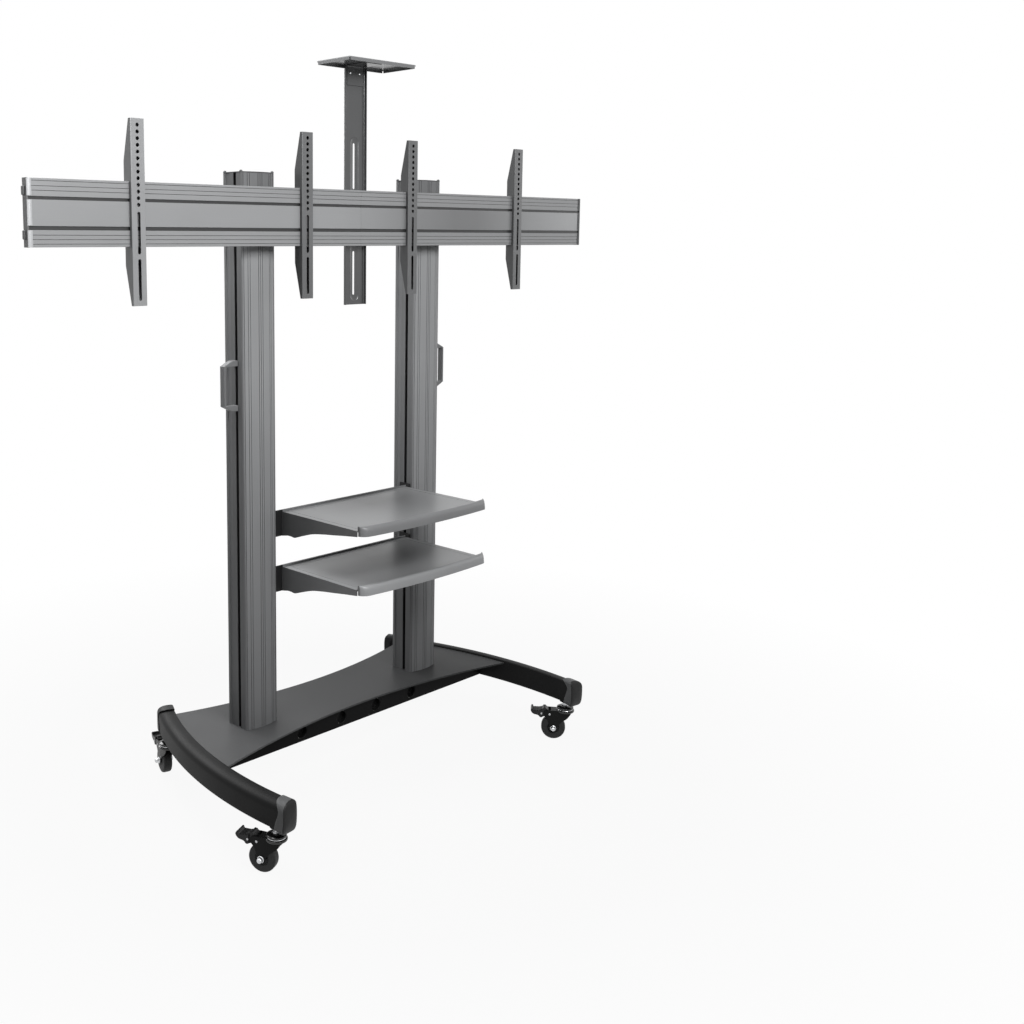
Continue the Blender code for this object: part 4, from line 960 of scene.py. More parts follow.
def column_outline():
    """Outline of the column: bowed and grooved front, T slots in the sides, lined back."""
    half_w, half_d, soft = COLUMN_HALF_W, COLUMN_HALF_D, 0.0025
    pairs = mm((48.7, 0.7), (37.7, 0.6), (31.7, 0.6), (6.5, 0.7))
    grooves = pairs + mm((0, 0.7)) + [(-x, half) for x, half in pairs]
    depth = 0.0012
    front = [(x, bowed(x)) for x in [(half_w - soft) * (step / 26 - 1) for step in range(53)]
             if all(abs(x - at) > half + 0.0004 for at, half in grooves)]
    for at, half in grooves:
        for x, wall in ((at - half, 0.0001), (at + half, -0.0001)):
            front += [(x, bowed(x)), (x + wall, bowed(x) + depth)]
    front.sort()
    middle = SLOT_Y - COLUMN_Y
    lower = [(0.001, 0.0006), (0.0016, 0.0), (0.0025, 0.0), (0.0025, 0.004), (SLOT_DEPTH, 0.001)]
    slot = [(half_w - inset, middle - SLOT_HALF_W - out) for inset, out in lower]
    slot += [(half_w - inset, middle + SLOT_HALF_W + out) for inset, out in reversed(lower)]
    side = quarter_arc(half_w - soft, soft - half_d, soft, 3)[1:]
    side += mm((0, -29), (-1, -28.5), origin=(half_w, 0)) + slot
    side += mm((-1, 10.5), (-2.2, 11), (-2.2, 26.5), (0, 27), origin=(half_w, 0))
    side += quarter_arc(half_w - soft, half_d - soft, soft, 0)
    rear = []
    for x in (0.0075, 0.0, -0.0075):
        rear += mm((0.8, 0), (0.7, -1.2), (-0.7, -1.2), (-0.8, 0), origin=(x, half_d))
    return front + side + rear + [(-x, y) for x, y in reversed(side)]


def column_mesh():
    """Hollow column with its two cable holes."""
    half_w = COLUMN_HALF_W - SLOT_DEPTH - COLUMN_WALL
    low = -COLUMN_HALF_D - 0.003
    high = COLUMN_HALF_D - COLUMN_WALL
    cavity = [(-half_w, low + 0.004), (-half_w + 0.008, low), (half_w - 0.008, low), (half_w, low + 0.004),
              (half_w, high), (-half_w, high)]
    column = prism([column_outline(), cavity], COLUMN_LOW, COLUMN_TOP)
    for z in GROMMET_HEIGHTS.values():
        column = cut(column, rod(GROMMET_HOLE_R + 0.0023, (0, 0.02, z), (0, 0.06, z), 40))
    return shaded(column, 24)


def column_cap_mesh():
    """Dark top plate with rounded corners and a domed bump on each."""
    low, high = COLUMN_TOP + FIT, COLUMN_TOP + FIT + 0.0025
    inset = 0.0006
    half_w, half_d = COLUMN_HALF_W - inset, COLUMN_HALF_D - inset
    outline = [(x, bowed(x) + inset) for x in [half_w * (step / 12 - 1) for step in range(25)]]
    cap = softened(prism([outline + [(half_w, half_d), (-half_w, half_d)]], low, high), 0.0005)
    dome = mm((0, 4), (1.6, 3.8), (3, 3), (4, 1.8), (4.5, 0.4), (4.5, -2.1), (0, -2.1), origin=(0, high))
    for x in (-1, 1):
        for y in (-1, 1):
            spot = (x * (COLUMN_HALF_W - 0.0037), y * (COLUMN_HALF_D - 0.0037), 0)
            cap = fused(cap, placed(lathe(dome, 24), spot))
    return shaded(cap, 40)


def grommet_mesh():
    """Rounded flange and sleeve of a cable grommet."""
    hole = (GROMMET_HOLE_R, 0)
    profile = mm((0, -5), (0, 0.4), (0.6, 1.2), (2, 2.2), (3.6, 2.6), origin=hole)
    profile += mm((-1.4, 2.2), (-0.4, 1.3), (0, 0.3), (0, 0), origin=(GROMMET_R, 0))
    profile += mm((2, 0), (2, -5), origin=hole)
    return shaded(lathe(profile, 64, "Y", closed=True), 30)


def grommet_step_mesh():
    """Inner step that holds a grommet's brush."""
    profile = mm((-1.6, -4.2), (-1.4, -3), (0.2, -3), (0.2, -4.6), (-1.6, -4.6), origin=(GROMMET_HOLE_R, 0))
    return shaded(lathe(profile, 64, "Y", closed=True), 30)


def handle_mesh():
    """Bent grip with slanted elbows, in the right-hand column's place."""
    root = COLUMN_X + COLUMN_HALF_W + FIT
    out, elbow, inner_x = 0.417, 0.39, 0.4115
    low, high = 1.043, 1.175
    rise, foot, turn = 0.0135, 0.015, 0.0015
    outline = [(root, low), (elbow, low), (out, low + rise), (out, high - rise), (elbow, high), (root, high),
               (root, high - foot), (inner_x - turn, high - foot), (inner_x, high - foot - turn),
               (inner_x, low + foot + turn), (inner_x - turn, low + foot), (root, low + foot)]
    return softened(prism([outline], SLOT_Y - 0.009, SLOT_Y + 0.009, "Y"), 0.0009, 25, 3, 40)


def screw_mesh(radius, height):
    """Pan-head screw with a cross recess, standing on Z."""
    dome = [(0.0, 1.0), (0.45, 0.98), (0.75, 0.86), (0.93, 0.58), (1.0, 0.22), (1.0, 0.0), (0.0, 0.0)]
    head = lathe([(radius * out, height * rise) for out, rise in dome], 20)
    for long, wide in ((0.55, 0.14), (0.14, 0.55)):
        x, y = radius * long, radius * wide
        head = cut(head, box((-x, -y, height * 0.45), (x, y, height * 1.2)))
    return shaded(head, 40)


def set_screws(name, part, spots, direction, radius, height, material=ZINC):
    """Screws on a part whose heads face one direction."""
    turn = Vector(direction).to_track_quat("Z", "Y").to_matrix().to_4x4()
    made = []
    for spot in spots:
        screw = screw_mesh(radius, height)
        screw.transform(Matrix.Translation(spot) @ turn)
        made.append(screw)
    add(name, together(made), material, part)


BEHIND = (0, 1, 0)
for name, side in SIDES:
    middle = (side * COLUMN_X, COLUMN_Y, 0)
    show(f"column_profile_{name}", placed(column_mesh(), middle), COLUMN_COAT, f"column_{name}")
    show(f"column_top_{name}", placed(column_cap_mesh(), middle), MOULDED, f"column_cap_{name}")
    for level, z in GROMMET_HEIGHTS.items():
        spot = (side * COLUMN_X, COLUMN_Y + COLUMN_HALF_D + FIT, z)
        part = f"grommet_{level}_{name}"
        show(f"grommet_ring_{level}_{name}", placed(grommet_mesh(), spot), RING, part)
        add(f"grommet_step_{level}_{name}", placed(grommet_step_mesh(), spot), BLACK_PLASTIC, part)
    show(f"handle_grip_{name}", sided(side, handle_mesh()), HANDLE_COAT, f"handle_{name}")


# Crossbeam

BEAM_HALF_L = 0.995
BEAM_CAP_THICK = 0.004
BEAM_FLANGE = 0.013
JOINT_HALF_L = 0.465
JOINT_LOW = 1.4875
JOINT_TOP = 1.6
JOINT_REAR_Y = BEAM_REAR_Y + 0.0028
BRACKET_LOW = 1.494
BRACKET_TOP = 1.593
BRACKET_OUT_X = 0.408
BRACKET_REAR_Y = JOINT_REAR_Y + 0.0043
BRACKET_END_Y = COLUMN_Y + 0.008


def groove_points(y, depth, grooves):
    """Points down one face of the beam with grooves as (drop from the top, half width)."""
    points = []
    for drop, half in grooves:
        z, floor = BEAM_TOP - drop, half - 0.0001
        points += [(y, z + half), (y + depth, z + floor), (y + depth, z - floor), (y, z - half)]
    return points


def tee_slot(y, z):
    """Points across one T slot in the beam's rear face."""
    upper = [(0, 9.9), (-1.5, 9.7), (-1.5, 4.2), (-2, 4), (-4, 4), (-4, 7), (-9, 7)]
    return mm(*upper, *((inward, -rise) for inward, rise in reversed(upper)), origin=(y, z))


def beam_outline():
    """Section of the beam extrusion in (y, z)."""
    front, rear, edge, fine = BEAM_FRONT_Y, BEAM_REAR_Y, 0.0008, 0.0006
    outline = [(front + edge, BEAM_TOP), (front, BEAM_TOP - edge)]
    outline += groove_points(front, 0.001, ((0.0057, fine), (0.0168, fine), (0.0267, fine)))
    outline += groove_points(front, 0.003, ((0.0425, 0.0037), (0.1073, 0.0044)))
    outline += groove_points(front, 0.001, ((0.1226, fine), (0.1323, fine), (0.1421, fine)))
    outline += [(front, BEAM_LOW + edge), (front + edge, BEAM_LOW)]
    back = [(rear - edge, BEAM_TOP), (rear, BEAM_TOP - edge), *tee_slot(rear, BEAM_TOP - 0.0268)]
    back += groove_points(rear, -0.001, ((0.0377, fine), (0.1105, fine))) + tee_slot(rear, BEAM_TOP - 0.1214)
    return outline + [(rear - edge, BEAM_LOW), (rear, BEAM_LOW + edge)] + back[::-1]


def beam_cap_mesh():
    """End plate with two rounded pads at the right-hand end."""
    rear = BEAM_REAR_Y + 0.0018
    cap = softened(box((BEAM_HALF_L - BEAM_CAP_THICK, BEAM_FRONT_Y - 0.0004, BEAM_LOW - 0.0004),
                       (BEAM_HALF_L, rear, BEAM_TOP + 0.0004)), 0.0007)
    for z in (BEAM_LOW + 0.0165, BEAM_TOP - 0.0375):
        pad = box((BEAM_HALF_L - 0.002, rear - 0.0105, z), (BEAM_HALF_L + 0.0045, rear - 0.001, z + 0.021))
        cap = fused(cap, softened(pad, 0.0028, segments=5))
    return shaded(cap, 35)


def beam_flange_mesh():
    """Dark flange of the end cap behind the beam, with two rounded ears."""
    seat, rear = BEAM_REAR_Y + FIT, BEAM_REAR_Y + 0.0018
    inner, outer = BEAM_HALF_L - BEAM_FLANGE, BEAM_HALF_L - 0.0041
    flange = softened(box((inner, seat, BEAM_LOW + 0.001), (outer, rear, BEAM_TOP - 0.001)), 0.0004)
    for low, high in ((BEAM_LOW - 0.0002, BEAM_LOW + 0.015), (BEAM_TOP - 0.015, BEAM_TOP + 0.0002)):
        ear = box((inner - 0.0035, seat, low), (outer - 0.0001, rear + 0.0007, high))
        flange = fused(flange, softened(ear, 0.0006))
    return shaded(flange, 35)


def end_trim_mesh():
    """Three rounded lips of the end cap over the beam's front, beside its grooves; at the left-hand end they
    carry a bright painted highlight.
    """
    face = (0, BEAM_FRONT_Y - 0.0007)
    plan = curved(mm((983.2, 0), (983.4, -0.8), (986.2, -1.4), (990, -1.2), (993, -0.4), (994.6, 0.3),
                     origin=face), 3) + mm((994, 0.3), (992, 0), origin=face)
    spans = ((BEAM_LOW + 0.0004, BEAM_TOP - 0.1123), (BEAM_TOP - 0.1023, BEAM_TOP - 0.0468),
             (BEAM_TOP - 0.0382, BEAM_TOP - 0.0004))
    return shaded(together([prism([plan], low, high) for low, high in spans]), 30)


def tie_plate_mesh():
    """Upright plate with rounded corners that joins the beam's halves."""
    soft = 0.004
    x, low, high = JOINT_HALF_L - soft, JOINT_LOW + soft, JOINT_TOP - soft
    centres = ((x, high), (-x, high), (-x, low), (x, low))
    outline = [point for quarter, (u, v) in enumerate(centres) for point in quarter_arc(u, v, soft, quarter)]
    return softened(prism([outline], BEAM_REAR_Y + FIT, JOINT_REAR_Y, "Y"), 0.0005)


def column_bracket_mesh():
    """Angle from the joint plate along the right-hand column's inner side."""
    front, out, bend = JOINT_REAR_Y + FIT, COLUMN_INNER_X - FIT, 0.005
    inner = out - 0.004
    outline = [(inner, front + bend), *quarter_arc(inner + bend, front + bend, bend, 2, 6)[1:],
               (BRACKET_OUT_X, front), (BRACKET_OUT_X, BRACKET_REAR_Y), (out, BRACKET_REAR_Y),
               (out, BRACKET_END_Y), (inner, BRACKET_END_Y)]
    return softened(prism([outline], BRACKET_LOW, BRACKET_TOP), 0.0005, 30)


for name, side in SIDES:
    half = shaded(prism([beam_outline()], 0.00015, BEAM_HALF_L - BEAM_CAP_THICK - FIT, "X"), 24)
    cap, angle = f"beam_cap_{name}", f"column_bracket_{name}"
    show(f"beam_profile_{name}", sided(side, half), BEAM_COAT, f"beam_{name}")
    show(f"beam_end_{name}", sided(side, beam_cap_mesh()), CAP_COAT, cap)
    # The left-hand lips get the bright trim as a painted highlight; the right-hand ones keep the dark trim
    add(f"beam_end_trim_{name}", sided(side, end_trim_mesh()), TRIM_HIGHLIGHT if side < 0 else TRIM_DARK, cap)
    add(f"beam_flange_{name}", sided(side, beam_flange_mesh()), DARK_STEEL, cap)
    # The angle is near black: partly its own dark paint and partly painted shade from the column beside it
    show(f"column_angle_{name}", sided(side, column_bracket_mesh()), BLACK_COAT, angle)
    x = side * (BEAM_HALF_L - 0.0112)
    spots = [(x, BEAM_REAR_Y + 0.0025, z) for z in (BEAM_LOW + 0.006, BEAM_TOP - 0.006)]
    set_screws(f"beam_end_screws_{name}", cap, spots, BEHIND, 0.0032, 0.0016, BRIGHT)
    spots = [(side * 0.4, BRACKET_REAR_Y, z) for z in (1.5, 1.587)]
    set_screws(f"column_angle_screws_{name}", angle, spots, BEHIND, 0.0042, 0.0024)
    spots = [(side * (COLUMN_INNER_X - 0.0043), SLOT_Y, z) for z in (1.504, 1.5435, 1.583)]
    set_screws(f"column_slot_screws_{name}", angle, spots, (-side, 0, 0), 0.0052, 0.003)
show("beam_tie_plate", tie_plate_mesh(), BRACKET_COAT, "beam_joint_plate")
heights = (JOINT_LOW + 0.0062, JOINT_TOP - 0.0062)
spots = [(x, JOINT_REAR_Y, z) for x in (-0.433, -0.057, 0.057, 0.433) for z in heights]
set_screws("beam_tie_screws", "beam_joint_plate", spots, BEHIND, 0.0038, 0.0018)


# Display brackets and the camera holder

VESA_X = (-0.717, -0.2, 0.194, 0.663)
VESA_HALF_W = 0.01925
VESA_SHEET = 0.002
VESA_FRONT_Y = COLUMN_Y - 0.098
VESA_REAR_Y = COLUMN_Y - 0.068
VESA_LOW = 1.332
VESA_TOP = 1.759
VESA_HOLE_TOP = 1.744
VESA_HOLE_PITCH = 0.015
VESA_HOLE_COUNT = 13
VESA_SLOTS = ((1.451, 1.548), (1.344, 1.44))
TAPER_LOW = 1.425
TAPER_TOP = 1.664
NOTCH_LOW = 1.482
NOTCH_TOP = 1.604
BAR_HALF_W = 0.039
BAR_SHEET = 0.0025
BAR_FRONT_Y = COLUMN_Y - 0.0699
BAR_REAR_Y = COLUMN_Y - 0.0599
BAR_WEB_Y = BAR_REAR_Y - BAR_SHEET
BAR_LOW = 1.308
BAR_TOP = 1.945
BAR_RIM = (1.3165, 1.7605)
BAR_RIM_HALF_W = 0.017
BAR_RIM_RISE = 0.002
BAR_SLOTS = ((1.3345, 1.454), (1.4796, 1.596), (1.621, 1.744))
BAR_BOLTS = {"low": 1.505, "high": 1.5845}
SLOT_R = 0.004
SHELF_HALF_W = 0.122
SHELF_FRONT_Y = COLUMN_Y - 0.172
SHELF_REAR_Y = COLUMN_Y - 0.047
SHELF_TOP = 1.95
SHELF_LIP = 0.01
SHELF_SHEET = 0.002
TAB_HALF_W = 0.03
TAB_LOW = 1.895
TAB_FRONT_Y = COLUMN_Y - 0.135


def hook_outline(inset):
    """Side outline of a display bracket in (y, z), drawn in by a sheet's thickness."""
    front, rear, end = VESA_FRONT_Y + inset, VESA_REAR_Y - inset, VESA_FRONT_Y + 0.008 - inset
    beam_front, beam_rear = BEAM_FRONT_Y - FIT, BEAM_REAR_Y + FIT
    under, over = BEAM_LOW - FIT - inset, BEAM_TOP + FIT + inset
    lower = [(front, VESA_LOW + inset), (end, VESA_LOW + inset), (rear, TAPER_LOW)]
    upper = [(rear, TAPER_TOP), (end, VESA_TOP - inset), (front, VESA_TOP - inset)]
    if inset > 0:
        hook = [(rear, under), (beam_front + 0.01, under), (beam_front + 0.01, over), (rear, over)]
    else:
        hook = [(rear, NOTCH_LOW), (beam_rear, NOTCH_LOW), (beam_rear, under), (beam_front, under),
                (beam_front, over), (beam_rear, over), (beam_rear, NOTCH_TOP), (rear, NOTCH_TOP)]
    return lower + hook + upper


def display_bracket_mesh():
    """Folded channel that hangs on the beam, with round holes and long slots."""
    inside = VESA_HALF_W - VESA_SHEET
    bm = opened(prism([hook_outline(0.0)], -VESA_HALF_W, VESA_HALF_W, "X"))
    merge_flat(bm)
    folds = [edge for edge in bm.edges
             if all(abs(vertex.co.y - VESA_FRONT_Y) < NEAR for vertex in edge.verts)
             and abs(edge.verts[0].co.x - edge.verts[1].co.x) < NEAR]
    round_edges(bm, folds, 0.0028, 5)
    channel = cut(finished(bm), prism([hook_outline(VESA_SHEET)], -inside, inside, "X"))
    before, behind = VESA_FRONT_Y - 0.004, VESA_FRONT_Y + 0.005
    tools = [prism([obround(low, high, SLOT_R)], before, behind, "Y") for low, high in VESA_SLOTS]
    for step in range(VESA_HOLE_COUNT):
        z = VESA_HOLE_TOP - step * VESA_HOLE_PITCH
        tools.append(rod(0.0045, (0, before, z), (0, behind, z), 28))
    return softened(cut(channel, together(tools)), 0.0003, 35, 1, 30)


def trough_mesh():
    """Tool that presses a long hollow with sloping walls into the bar's front."""
    low, high = BAR_RIM
    rings = []
    for inset, depth in mm((-0.4, -0.6), (0, 0), (1, 0.7), (2.8, 1.4), (5.5, 2), (8.5, 2.3), (11, 2.4)):
        outline = obround(low + inset, high - inset, BAR_RIM_HALF_W - 0.0008 - inset, 16)
        rings.append([(x, BAR_WEB_Y + depth, z) for x, z in outline])
    return loft(rings)


def camera_bar_mesh():
    """Upright channel with bent flanges and a pressed rim round three slots."""
    half, inner, web, bend, fold = BAR_HALF_W, BAR_HALF_W - BAR_SHEET, BAR_WEB_Y, 0.0042, 0.002
    hollow = [(inner, BAR_FRONT_Y), *quarter_arc(inner - fold, web - fold, fold, 0),
              *quarter_arc(fold - inner, web - fold, fold, 1), (-inner, BAR_FRONT_Y)]
    outline = hollow[::-1] + [(half, BAR_FRONT_Y), *quarter_arc(half - bend, BAR_REAR_Y - bend, bend, 0, 6),
                              *quarter_arc(bend - half, BAR_REAR_Y - bend, bend, 1, 6), (-half, BAR_FRONT_Y)]
    bar = prism([outline], BAR_LOW, BAR_TOP)
    rim = prism([obround(*BAR_RIM, BAR_RIM_HALF_W, 16)], web + 0.0005, BAR_REAR_Y + BAR_RIM_RISE, "Y")
    bar = cut(fused(bar, softened(rim, 0.0012, 30, 3)), trough_mesh())
    slots = [obround(low, high, SLOT_R) for low, high in BAR_SLOTS]
    return softened(cut(bar, prism(slots, web - 0.003, BAR_REAR_Y + 0.005, "Y")), 0.0005, 40, 2, 35)


def camera_bolt_mesh(z):
    """Clamp bolt of the bar at a height: washer, hexagonal head and shank."""
    seat = BAR_REAR_Y + BAR_RIM_RISE + FIT
    root = BEAM_REAR_Y + 0.0031 - seat
    shank = lathe([(0.0, 0.0064), (0.003, 0.0064), (0.0034, 0.006), (0.0034, root), (0.0, root)], 24, "Y")
    ring = mm((3.6, 0), (8.2, 0), (8.5, 0.3), (8.5, 1.2), (8.1, 1.6), (3.6, 1.6))
    head = placed(hexagon(0.0062, 0.0017, 0.0062, 0.003), turn=-QUARTER, axis="X")
    bolt = together([shaded(shank, 30), shaded(lathe(ring, 40, "Y", closed=True), 30), head])
    return placed(bolt, (0, seat, z))


def camera_shelf_mesh():
    """Small tray with rounded folds to its turned-down lips."""
    half, front, rear, sheet, notch = SHELF_HALF_W, SHELF_FRONT_Y, SHELF_REAR_Y, SHELF_SHEET, 0.0035
    under = SHELF_TOP - SHELF_LIP - 0.01
    bm = opened(box((-half, front, SHELF_TOP - SHELF_LIP), (half, rear, SHELF_TOP)))
    folds = [edge for edge in bm.edges if all(vertex.co.z > SHELF_TOP - NEAR for vertex in edge.verts)]
    round_edges(bm, folds, 0.003, 5)
    hollow = box((sheet - half, front + sheet, under), (half - sheet, rear - sheet, SHELF_TOP - sheet))
    shelf = cut(finished(bm), hollow)
    for x in (-half, half):
        for y in (front, rear):
            corner = box((x - notch, y - notch, under), (x + notch, y + notch, SHELF_TOP - 0.0042))
            shelf = cut(shelf, corner)
    return softened(shelf, 0.0003, 40, 1, 35)


def camera_tab_mesh():
    """Angle under the shelf that joins it to the bar, with a rounded bend."""
    web, top = BAR_WEB_Y - FIT, SHELF_TOP - SHELF_SHEET - FIT
    plate, bend = 0.0025, 0.0045
    back, under = web - plate, top - plate
    outline = [(back, TAB_LOW), (web, TAB_LOW), *quarter_arc(web - bend, top - bend, bend, 0, 6),
               (TAB_FRONT_Y, top), (TAB_FRONT_Y, under), (web - bend, under), (back, top - bend)]
    return softened(prism([outline], -TAB_HALF_W, TAB_HALF_W, "X"), 0.0004, 40, 1, 35)


for number, x in enumerate(VESA_X, start=1):
    # The first bracket gets the brighter coat as a painted highlight
    paint = LIT_BRACKET_COAT if number == 1 else BRACKET_COAT
    rail = placed(display_bracket_mesh(), (x, 0, 0))
    show(f"display_rail_{number}", rail, paint, f"display_bracket_{number}")
show("camera_bar_channel", camera_bar_mesh(), GLOSS_COAT, "camera_bar")
for level, z in BAR_BOLTS.items():
    show(f"camera_bolt_{level}", camera_bolt_mesh(z), BRIGHT, f"camera_bar_bolt_{level}")
# The shelf's brighter coat is painted light
show("camera_shelf_tray", camera_shelf_mesh(), PLATFORM_PAINTED_LIGHT, "camera_shelf")
show("camera_shelf_angle", camera_tab_mesh(), GLOSS_COAT, "camera_shelf_tab")
spots = [(x, BAR_REAR_Y, 1.916) for x in (-0.018, 0.018)]
set_screws("camera_bar_screws", "camera_bar", spots, BEHIND, 0.0042, 0.0022)
spots = [(x, BAR_WEB_Y - 0.0028, 1.927) for x in (-0.019, 0.015)]
set_screws("camera_bar_nuts", "camera_bar", spots, (0, -1, 0), 0.003, 0.0018, BRIGHT)
spots = [(x, SHELF_FRONT_Y + 0.07, SHELF_TOP) for x in (-0.018, 0.018)]
set_screws("camera_shelf_screws", "camera_shelf", spots, (0, 0, 1), 0.0042, 0.0014, DARK_STEEL)


# Shelves

# The lower tray's brighter coat is painted light
SHELF_LEVELS = {"upper": (0.758, TRAY_COAT), "lower": (0.605, LOW_TRAY_PAINTED_LIGHT)}
TRAY_FRONT_Y = COLUMN_Y - 0.33
TRAY_BOW = 0.013
TRAY_SHEET = 0.002
TRAY_DROP = 0.067
RAIL_FRONT_Y = COLUMN_Y - 0.034
RAIL_FLANGE_REAR_Y = COLUMN_Y + 0.009
RAIL_SHEET = 0.0025


def tray_front(x):
    """Depth of the tray's bowed front at a distance from its middle."""
    return TRAY_FRONT_Y - TRAY_BOW * (1 - (x / TRAY_HALF_W) ** 2)


def tray_mesh():
    """Pressed tray: plate with a border line, rear flange and tapered side arms."""
    half, rear, sheet = TRAY_HALF_W, RAIL_FRONT_Y - FIT, TRAY_SHEET
    front = [(x, tray_front(x)) for x in [half * (step / 12 - 1) for step in range(25)]]
    tray = prism([[(x, y - 0.001) for x, y in front] + [(half, rear), (-half, rear)]], -sheet, 0.0)
    border = []
    for inset in (0.018, 0.0192):
        edge = half - inset
        line = [(x * edge / half, y + inset - 0.003) for x, y in front]
        border.append(line + [(edge, rear - inset), (-edge, rear - inset)])
    tray = cut(tray, prism(border, -0.0007, 0.001))
    middle = (COLUMN_Y, 0)
    arm = [(rear, -0.001), (rear, -TRAY_DROP)] + mm((-60, -62), origin=middle)
    arm += curved(mm((-73, -62), (-86, -63.2), (-100, -59), (-120, -52), (-158, -40), (-200, -32.5),
                     (-240, -27), (-285, -20.5), origin=middle), 4)
    arm += mm((2, -15), (2, -1), origin=(TRAY_FRONT_Y, 0))
    for low, high in ((half - sheet, half), (-half, -half + sheet)):
        tray = fused(tray, prism([arm], low, high, "X"))
    inside = half - sheet / 2
    tray = fused(tray, box((-inside, rear - sheet, -0.058), (inside, rear, 0.0048)))
    return softened(tray, 0.0007, 35, 2, 35)


def lip_mesh():
    """Rolled front lip of a tray, drawn in towards both ends."""
    half = TRAY_HALF_W
    section = curved(mm((0, -2), (0.2, 5), (2.8, 10.3), (8.5, 12.6), (14.5, 10.6), (18.6, 4), (20.8, -6),
                        (21.5, -12.6)), 3)
    section += curved(mm((19.7, -13), (19, -6), (16.8, 3.3), (13.4, 9), (8.5, 10.8), (4, 8.8), (2, 4.5),
                         (1.8, -2)), 3)
    ends = (0.0, 0.0012, 0.003, 0.006, 0.01, 0.015)
    stations = [gap - half for gap in ends] + [0.02 * step - half for step in range(1, 24)]
    rings = []
    for x in stations + [half - gap for gap in reversed(ends)]:
        gap = min((half - abs(x)) / 0.02, 1.0)
        reach = 0.1 + 0.9 * math.sqrt(math.sin(gap * QUARTER))
        out = Vector((2 * TRAY_BOW * x / half ** 2, -1.0)).normalized()
        along, across = (out.x if gap == 1.0 else 0.0) * reach, out.y * reach
        rings.append([(x + along * ahead, tray_front(x) + across * ahead, rise) for ahead, rise in section])
    return shaded(loft(rings), 32)


def rail_mesh():
    """Rear rail of a shelf: web, lower lip, rounded bends and end flanges."""
    end, rear, bend, turn = COLUMN_INNER_X - FIT, RAIL_FLANGE_REAR_Y, 0.0045, 0.002
    inner, web = end - RAIL_SHEET, RAIL_FRONT_Y + RAIL_SHEET
    outline = [(-end, rear), *quarter_arc(-end + bend, RAIL_FRONT_Y + bend, bend, 2),
               *quarter_arc(end - bend, RAIL_FRONT_Y + bend, bend, 3), (end, rear)]
    half = [(inner, rear), (inner, web + turn), (inner - turn, web)]
    rail = prism([outline + half + [(-x, y) for x, y in reversed(half)]], -TRAY_DROP, 0.005)
    x, low = inner - 0.004, -TRAY_DROP
    lip = box((-x, RAIL_FRONT_Y + 0.001, low), (x, RAIL_FRONT_Y + 0.007, low + RAIL_SHEET))
    return softened(fused(rail, lip), 0.0005, 35, 2, 35)


for level, (top, paint) in SHELF_LEVELS.items():
    tray, rail = f"shelf_tray_{level}", f"shelf_rail_{level}"
    show(f"tray_plate_{level}", placed(tray_mesh(), (0, 0, top)), paint, tray)
    add(f"tray_lip_{level}", placed(lip_mesh(), (0, 0, top)), paint, tray)
    show(f"rail_{level}", placed(rail_mesh(), (0, 0, top)), RAIL_COAT, rail)
    spots = [(x, RAIL_FRONT_Y + RAIL_SHEET, top - drop) for x in (-0.14, 0.14) for drop in (0.019, 0.0485)]
    set_screws(f"rail_screws_{level}", rail, spots, BEHIND, 0.0048, 0.0026)
    for name, side in SIDES:
        spots = [(side * (COLUMN_INNER_X - 0.0028), SLOT_Y, top - drop) for drop in (0.016, 0.052)]
        set_screws(f"rail_slot_screws_{level}_{name}", rail, spots, (-side, 0, 0), 0.005, 0.0028)


# Studio

def backdrop_seen(tree):
    """Factor that is one for the camera and for mirror or glass rays."""
    path = node(tree, "ShaderNodeLightPath", {}).outputs
    mirror = maths("MAXIMUM", path["Is Camera Ray"], path["Is Glossy Ray"])
    return maths("MAXIMUM", mirror, path["Is Transmission Ray"])


def make_floor():
    """White floor that runs out past the view and keeps a soft shadow."""
    material, tree, surface = shader("white_floor")
    tone = blend_colours(noise(place(tree), 2.0, 2.0, 0.5), shade(0.3), shade(0.33))
    fill(surface, {"Base Color": tone, "Roughness": 0.8, "Specular IOR Level": 0.1})
    glow = node(tree, "ShaderNodeEmission", {"Color": shade(1.0), "Strength": 1.0})
    away = node(tree, "ShaderNodeVectorMath", {0: place(tree)}, operation="LENGTH")
    seen = maths("MULTIPLY", backdrop_seen(tree), spread(away.outputs["Value"], 0.93, 1.0, 0.9, 2.2))
    mix = node(tree, "ShaderNodeMixShader", {0: seen, 1: surface.outputs[0], 2: glow.outputs[0]})
    fill(tree.nodes["Material Output"], {"Surface": mix.outputs[0]})
    bm = bmesh.new()
    bmesh.ops.create_grid(bm, x_segments=2, y_segments=2, size=30.0)
    floor = linked("floor", finished(bm))
    floor.data.materials.append(material)
    floor.location = (0, 0, -0.001)


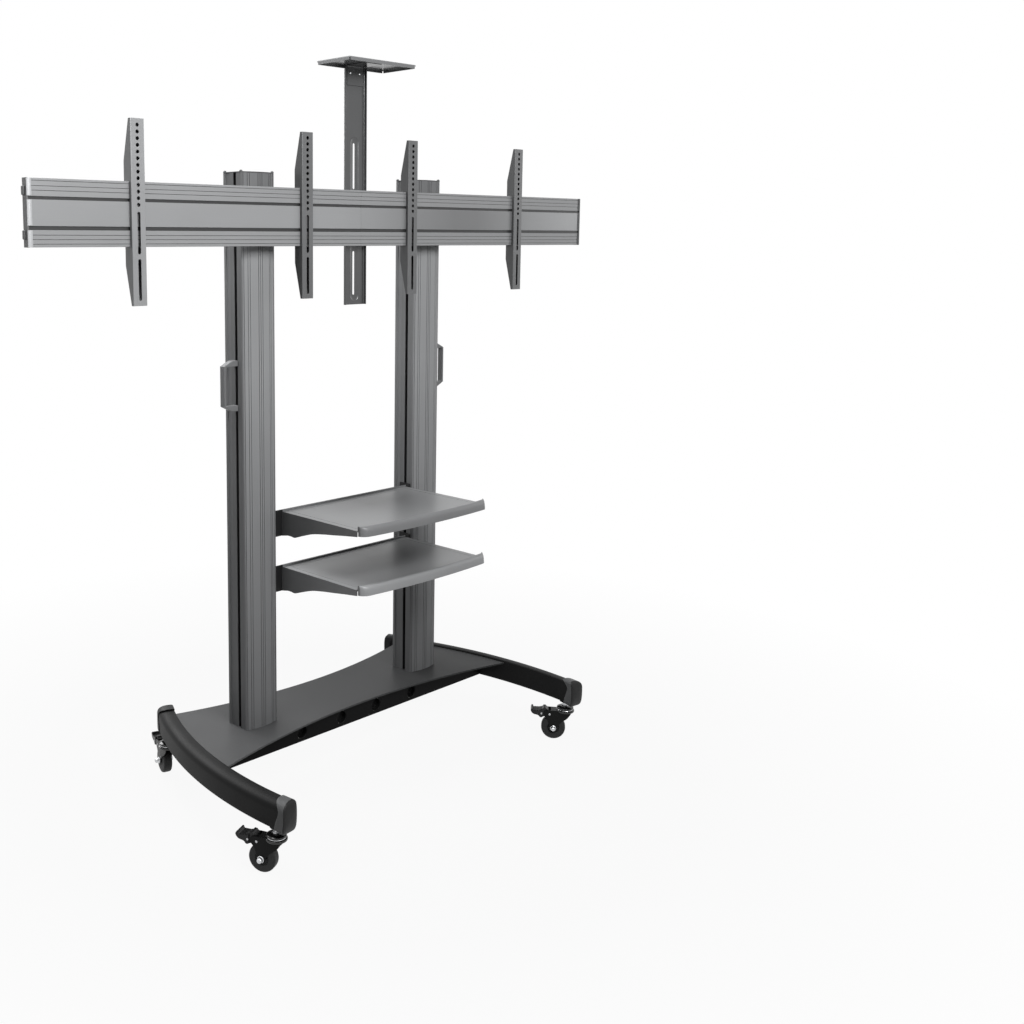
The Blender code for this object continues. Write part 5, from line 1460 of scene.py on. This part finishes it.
def make_light(name, spot, target, width, height, power):
    """Soft rectangular light aimed at a point."""
    data = bpy.data.lights.new(name, "AREA")
    data.shape = "RECTANGLE"
    data.size = width
    data.size_y = height
    data.energy = power
    lamp = linked(name, data)
    lamp.location = spot
    lamp.rotation_euler = (Vector(target) - Vector(spot)).to_track_quat("-Z", "Y").to_euler()


def make_world():
    """White surroundings for the camera, and a softer fill for the object."""
    world = bpy.data.worlds.new("studio")
    bpy.context.scene.world = world
    world.use_nodes = True
    tree = world.node_tree
    tree.nodes.clear()
    soft, bright = (node(tree, "ShaderNodeBackground", {"Color": shade(1.0), "Strength": strength}).outputs[0]
                    for strength in (0.07, 1.0))
    mix = node(tree, "ShaderNodeMixShader", {0: backdrop_seen(tree), 1: soft, 2: bright})
    node(tree, "ShaderNodeOutputWorld", {"Surface": mix.outputs[0]})


def make_camera():
    """Camera at the photograph's viewpoint."""
    data = bpy.data.cameras.new("camera")
    data.sensor_width = 36.0
    data.lens = 41.116
    data.shift_x = 0.18
    data.shift_y = -0.116
    data.clip_start = 0.05
    data.clip_end = 100.0
    camera = linked("camera", data)
    camera.location = (-2.2256, -2.3997 + COLUMN_Y, 1.4843 + DATUM)
    yaw, pitch = math.radians(42.309), math.radians(-7.471)
    forward = Vector((math.sin(yaw) * math.cos(pitch), math.cos(yaw) * math.cos(pitch), math.sin(pitch)))
    camera.rotation_mode = "QUATERNION"
    camera.rotation_quaternion = forward.to_track_quat("-Z", "Y")
    bpy.context.scene.camera = camera


make_floor()
make_light("front", (-0.5, -2.3, 2.6), (0, 0, 1.4), 1.6, 1.2, 60)
make_light("left", (-2.6, 0.2, 2.6), (-0.2, 0, 1.4), 1.0, 1.0, 4)
make_light("right", (3.6, -1.7, 1.9), (0.4, 0, 1.4), 1.2, 1.2, 8)
make_light("back", (-0.3, 3.4, 2.6), (0, 0, 1.1), 2.2, 1.8, 85)
make_light("top", (-1.0, 0.2, 3.2), (-0.3, 0, 0.6), 1.6, 1.2, 46)
make_world()
make_camera()
bpy.context.scene.view_settings.view_transform = "Standard"

bpy.context.view_layer.update()
